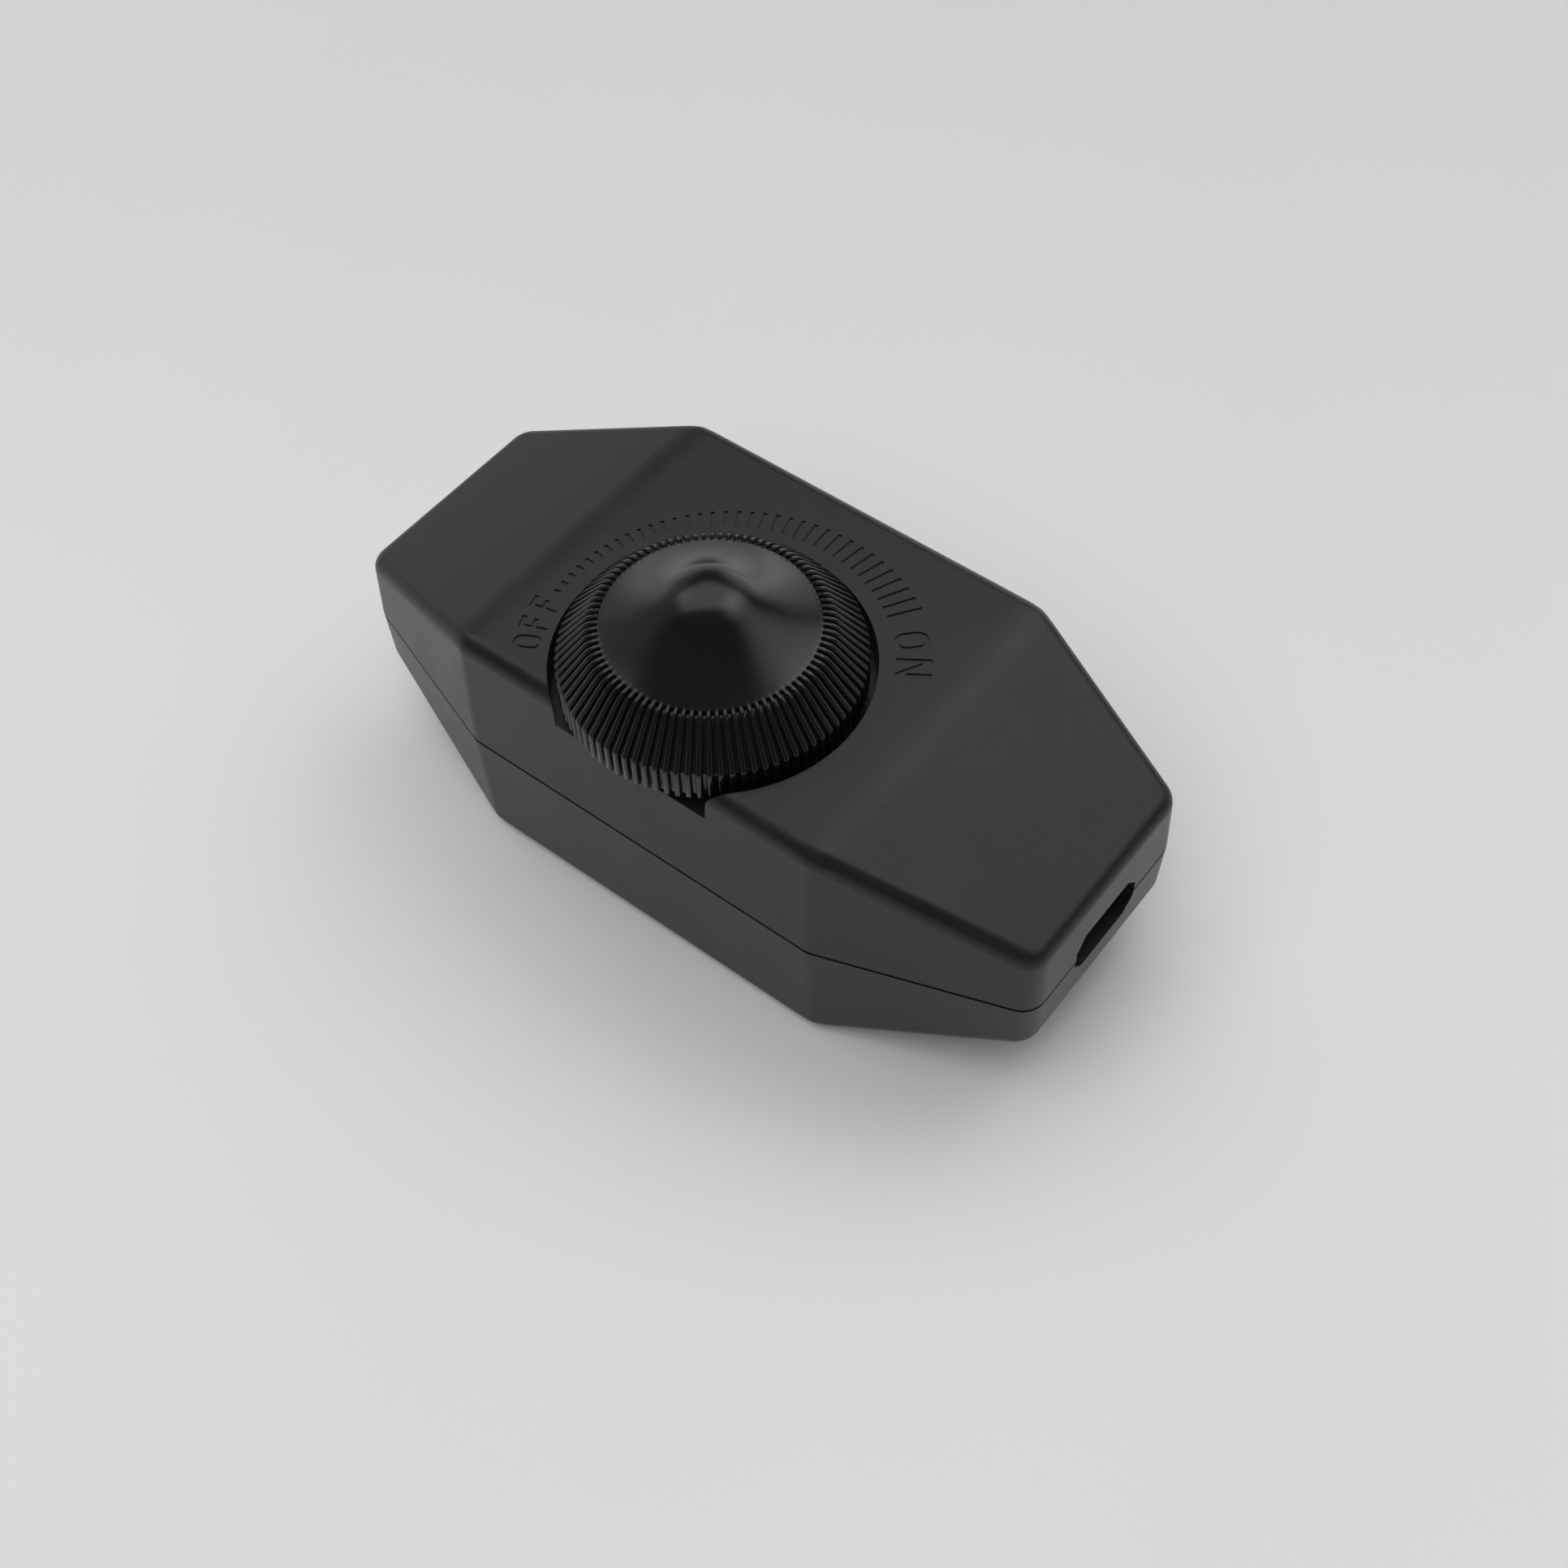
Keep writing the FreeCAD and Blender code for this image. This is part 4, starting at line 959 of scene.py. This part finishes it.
class Glow(Enum):
    """Soft patches of light round the object."""

    RIGHT_PANEL = SoftLight(aside=0.6, beyond=0.25, up=0.76, edge=29.0, strength=0.95)
    LEFT_SIDE = SoftLight(aside=-0.68, beyond=0.5, up=0.55, edge=30.0, strength=0.25)
    FAR_RIGHT = SoftLight(aside=0.45, beyond=0.85, up=0.2, edge=25.0, strength=0.7)
    FAR_LEFT = SoftLight(aside=-0.45, beyond=0.85, up=0.2, edge=25.0, strength=0.3)


@dataclass
class Studio:
    """Pale floor, soft light round the object, and the photograph's viewpoint.

    Attributes:
        azimuth: Turn of the camera round the object, in degrees.
        elevation: Height of the camera over the horizon, in degrees.
        roll: Turn of the picture, in degrees.
        distance: Distance of the camera from the origin, in metres.
        aside: Shift of the camera to its right, in metres.
        above: Shift of the camera to its top, in metres.
        lens: Focal length, in mm.
        sensor: Width of the sensor, in mm.
        nearest: Distance where the camera starts to see, in metres.
        farthest: Distance where it stops, in metres.
        floor_half: Half the width of the floor, in metres.
        floor_shade: Colour of the floor, sRGB hex.
        floor_cloud: Colour of its faint clouds, sRGB hex.
        floor_cloud_mm: Size of the clouds.
        floor_roughness: Roughness of the floor.
        floor_ior: Index of refraction of the floor.
        light_shade: Colour of the light from all round, sRGB hex.
        window: Strength of the bright window beyond and above the object.
        window_low: Slopes of sight at the outside and the inside of the window's lower edge, in degrees.
        window_high: The same for its upper edge.
        window_side: The same for its left and right edges, as sines of the angle aside.
        room: Strength of the dim room.
        walls: Strength of the pale walls round the room.
        walls_top: Height where the walls have faded into the dim room, in degrees over the horizon.
        walls_full: Height where they start to fade, as a sine.
        glow_core: Angle from a glow's middle to where it starts to fade, in degrees.
        ceiling_power: Power of the soft lamp overhead, in watts.
        ceiling_width: Width of the lamp, in metres.
        ceiling_distance: Distance of the lamp from the origin, in metres.
        ceiling_near: How far the lamp leans to the camera.
        ceiling_left: How far the lamp leans to the camera's left.
    """

    azimuth: float = 39.159
    elevation: float = 53.601
    roll: float = -1.932
    distance: float = 0.2159
    aside: float = 0.002412
    above: float = 0.002024
    lens: float = 48.063
    sensor: float = 36.0
    nearest: float = 0.005
    farthest: float = 100.0
    floor_half: float = 8.0
    floor_shade: str = "#F9F9FB"
    floor_cloud: str = "#F5F5F7"
    floor_cloud_mm: float = 60.0
    floor_roughness: float = 0.3
    floor_ior: float = 1.35
    light_shade: str = "#FDFDFF"
    window: float = 1.1
    window_low: tuple[float, float] = (39.0, 48.0)
    window_high: tuple[float, float] = (86.0, 77.0)
    window_side: tuple[float, float] = (0.7, 0.45)
    room: float = 0.04
    walls: float = 0.5
    walls_top: float = 18.0
    walls_full: float = 0.05
    glow_core: float = 6.0
    ceiling_power: float = 6.9
    ceiling_width: float = 1.3
    ceiling_distance: float = 1.2
    ceiling_near: float = 0.35
    ceiling_left: float = 0.3

    def directions(self) -> tuple[Vector, Vector, Vector]:
        """Directions from the object to the camera, and to the camera's right and top.

        Returns:
            Back, right and up as unit vectors, before the roll.
        """
        turn = math.radians(self.azimuth)
        rise = math.radians(self.elevation)
        back = Vector((math.sin(turn) * math.cos(rise), -math.cos(turn) * math.cos(rise), math.sin(rise)))
        right = Vector((math.cos(turn), math.sin(turn), 0))
        return back, right, back.cross(right)

    def camera(self) -> None:
        """Set up the camera at the photograph's viewpoint."""
        back, right, up = self.directions()
        data = bpy.data.cameras.new("viewpoint")
        data.sensor_width = self.sensor
        data.lens = self.lens
        data.clip_start = self.nearest
        data.clip_end = self.farthest
        camera = bpy.data.objects.new("viewpoint", data)
        tilt = math.radians(self.roll)
        across = right * math.cos(tilt) + up * math.sin(tilt)
        upright = up * math.cos(tilt) - right * math.sin(tilt)
        place = back * self.distance + right * self.aside + up * self.above
        turned = Matrix((across, upright, back)).transposed().to_4x4()
        camera.matrix_world = Matrix.Translation(place) @ turned
        bpy.context.scene.collection.objects.link(camera)
        bpy.context.scene.camera = camera

    def floor(self) -> None:
        """Lay the pale floor, a smooth sheet with a faint gloss."""
        half = self.floor_half
        mesh = bpy.data.meshes.new("floor")
        corners = [(-half, -half, 0), (half, -half, 0), (half, half, 0), (-half, half, 0)]
        mesh.from_pydata(corners, [], [(0, 1, 2, 3)])
        floor = new_piece("floor", mesh)
        made, tree, place = new_material("laminate_white_floor")
        clouds = noise(tree, place, self.floor_cloud_mm, detail=3.0)
        shade = blend(tree, clouds, linear(self.floor_shade), linear(self.floor_cloud))
        set_inputs(tree, tree.nodes["Principled BSDF"], {
            "Base Color": shade, "Roughness": self.floor_roughness, "IOR": self.floor_ior})
        mesh.materials.append(made)

    @staticmethod
    def along(tree: bpy.types.NodeTree, look: bpy.types.NodeSocket,
              direction: Vector) -> bpy.types.NodeSocket:
        """Add how far a direction of sight runs along another direction.

        Args:
            tree: Tree that it goes into.
            look: Direction of sight.
            direction: The other direction, as a unit vector.

        Returns:
            The cosine of the angle between them.
        """
        node = add_node(tree, "ShaderNodeVectorMath", {0: look, 1: direction}, operation="DOT_PRODUCT")
        return node.outputs["Value"]

    def world(self) -> None:
        """Light the room: pale walls, a window beyond and above the object, and soft glows round it."""
        _, right, _ = self.directions()
        far = Vector((0, 0, 1)).cross(right)
        world = bpy.data.worlds.new("studio")
        bpy.context.scene.world = world
        world.use_nodes = True
        tree = world.node_tree
        tree.nodes.clear()
        look = add_node(tree, "ShaderNodeTexCoord").outputs["Generated"]
        aside = self.along(tree, look, right)
        height = add_node(tree, "ShaderNodeSeparateXYZ", {0: look}).outputs["Z"]
        slope = calculate(tree, "ARCTAN2", height, self.along(tree, look, far))
        low, high = (tuple(map(math.radians, edge)) for edge in (self.window_low, self.window_high))
        outside, inside = self.window_side
        edges = ((slope, low), (slope, high), (aside, (-outside, -inside)), (aside, (outside, inside)))
        walls_edge = (math.sin(math.radians(self.walls_top)), self.walls_full)
        light = remap(tree, height, walls_edge, (self.room, self.walls), smooth=True)
        window: bpy.types.NodeSocket | float = self.window
        for run, edge in edges:
            window = calculate(tree, "MULTIPLY", window, remap(tree, run, edge, smooth=True))
        light = calculate(tree, "ADD", light, window)
        for glow in Glow:
            patch = glow.value
            middle = right * patch.aside + far * patch.beyond + Vector((0, 0, patch.up))
            edge = (math.cos(math.radians(patch.edge)), math.cos(math.radians(self.glow_core)))
            share = remap(tree, self.along(tree, look, middle.normalized()), edge, smooth=True)
            light = calculate(tree, "MULTIPLY_ADD", share, patch.strength, light)
        sky = add_node(tree, "ShaderNodeBackground", {"Color": linear(self.light_shade), "Strength": light})
        add_node(tree, "ShaderNodeOutputWorld", {"Surface": sky.outputs[0]})

    def lamp(self) -> None:
        """Hang a large soft lamp overhead, which lights evenly and stays out of the gloss."""
        _, right, _ = self.directions()
        near = right.cross(Vector((0, 0, 1)))
        data = bpy.data.lights.new("ceiling", "AREA")
        data.shape = "DISK"
        data.size = self.ceiling_width
        data.energy = self.ceiling_power
        lamp = bpy.data.objects.new("ceiling", data)
        lean = (near * self.ceiling_near - right * self.ceiling_left + Vector((0, 0, 1))).normalized()
        turned = lean.to_track_quat("Z", "Y").to_matrix().to_4x4()
        lamp.matrix_world = Matrix.Translation(lean * self.ceiling_distance) @ turned
        lamp.visible_glossy = False
        bpy.context.scene.collection.objects.link(lamp)

    def build(self) -> None:
        """Build the whole studio."""
        self.camera()
        self.floor()
        self.world()
        self.lamp()
        bpy.context.scene.view_settings.view_transform = "Standard"


def write_sizes() -> None:
    """Bring the placements of all pieces up to date."""
    bpy.context.view_layer.update()


def main() -> None:
    """Build the studio and dress the dimmer."""
    logging.basicConfig(level=logging.INFO, format="%(name)s: %(message)s")
    Studio().build()
    Housing().dress()
    Thumbwheel().build()
    Potentiometer().dress()
    board = CircuitBoard()
    board.dress()
    board.solder()
    write_sizes()


if __name__ == "__main__":
    main()
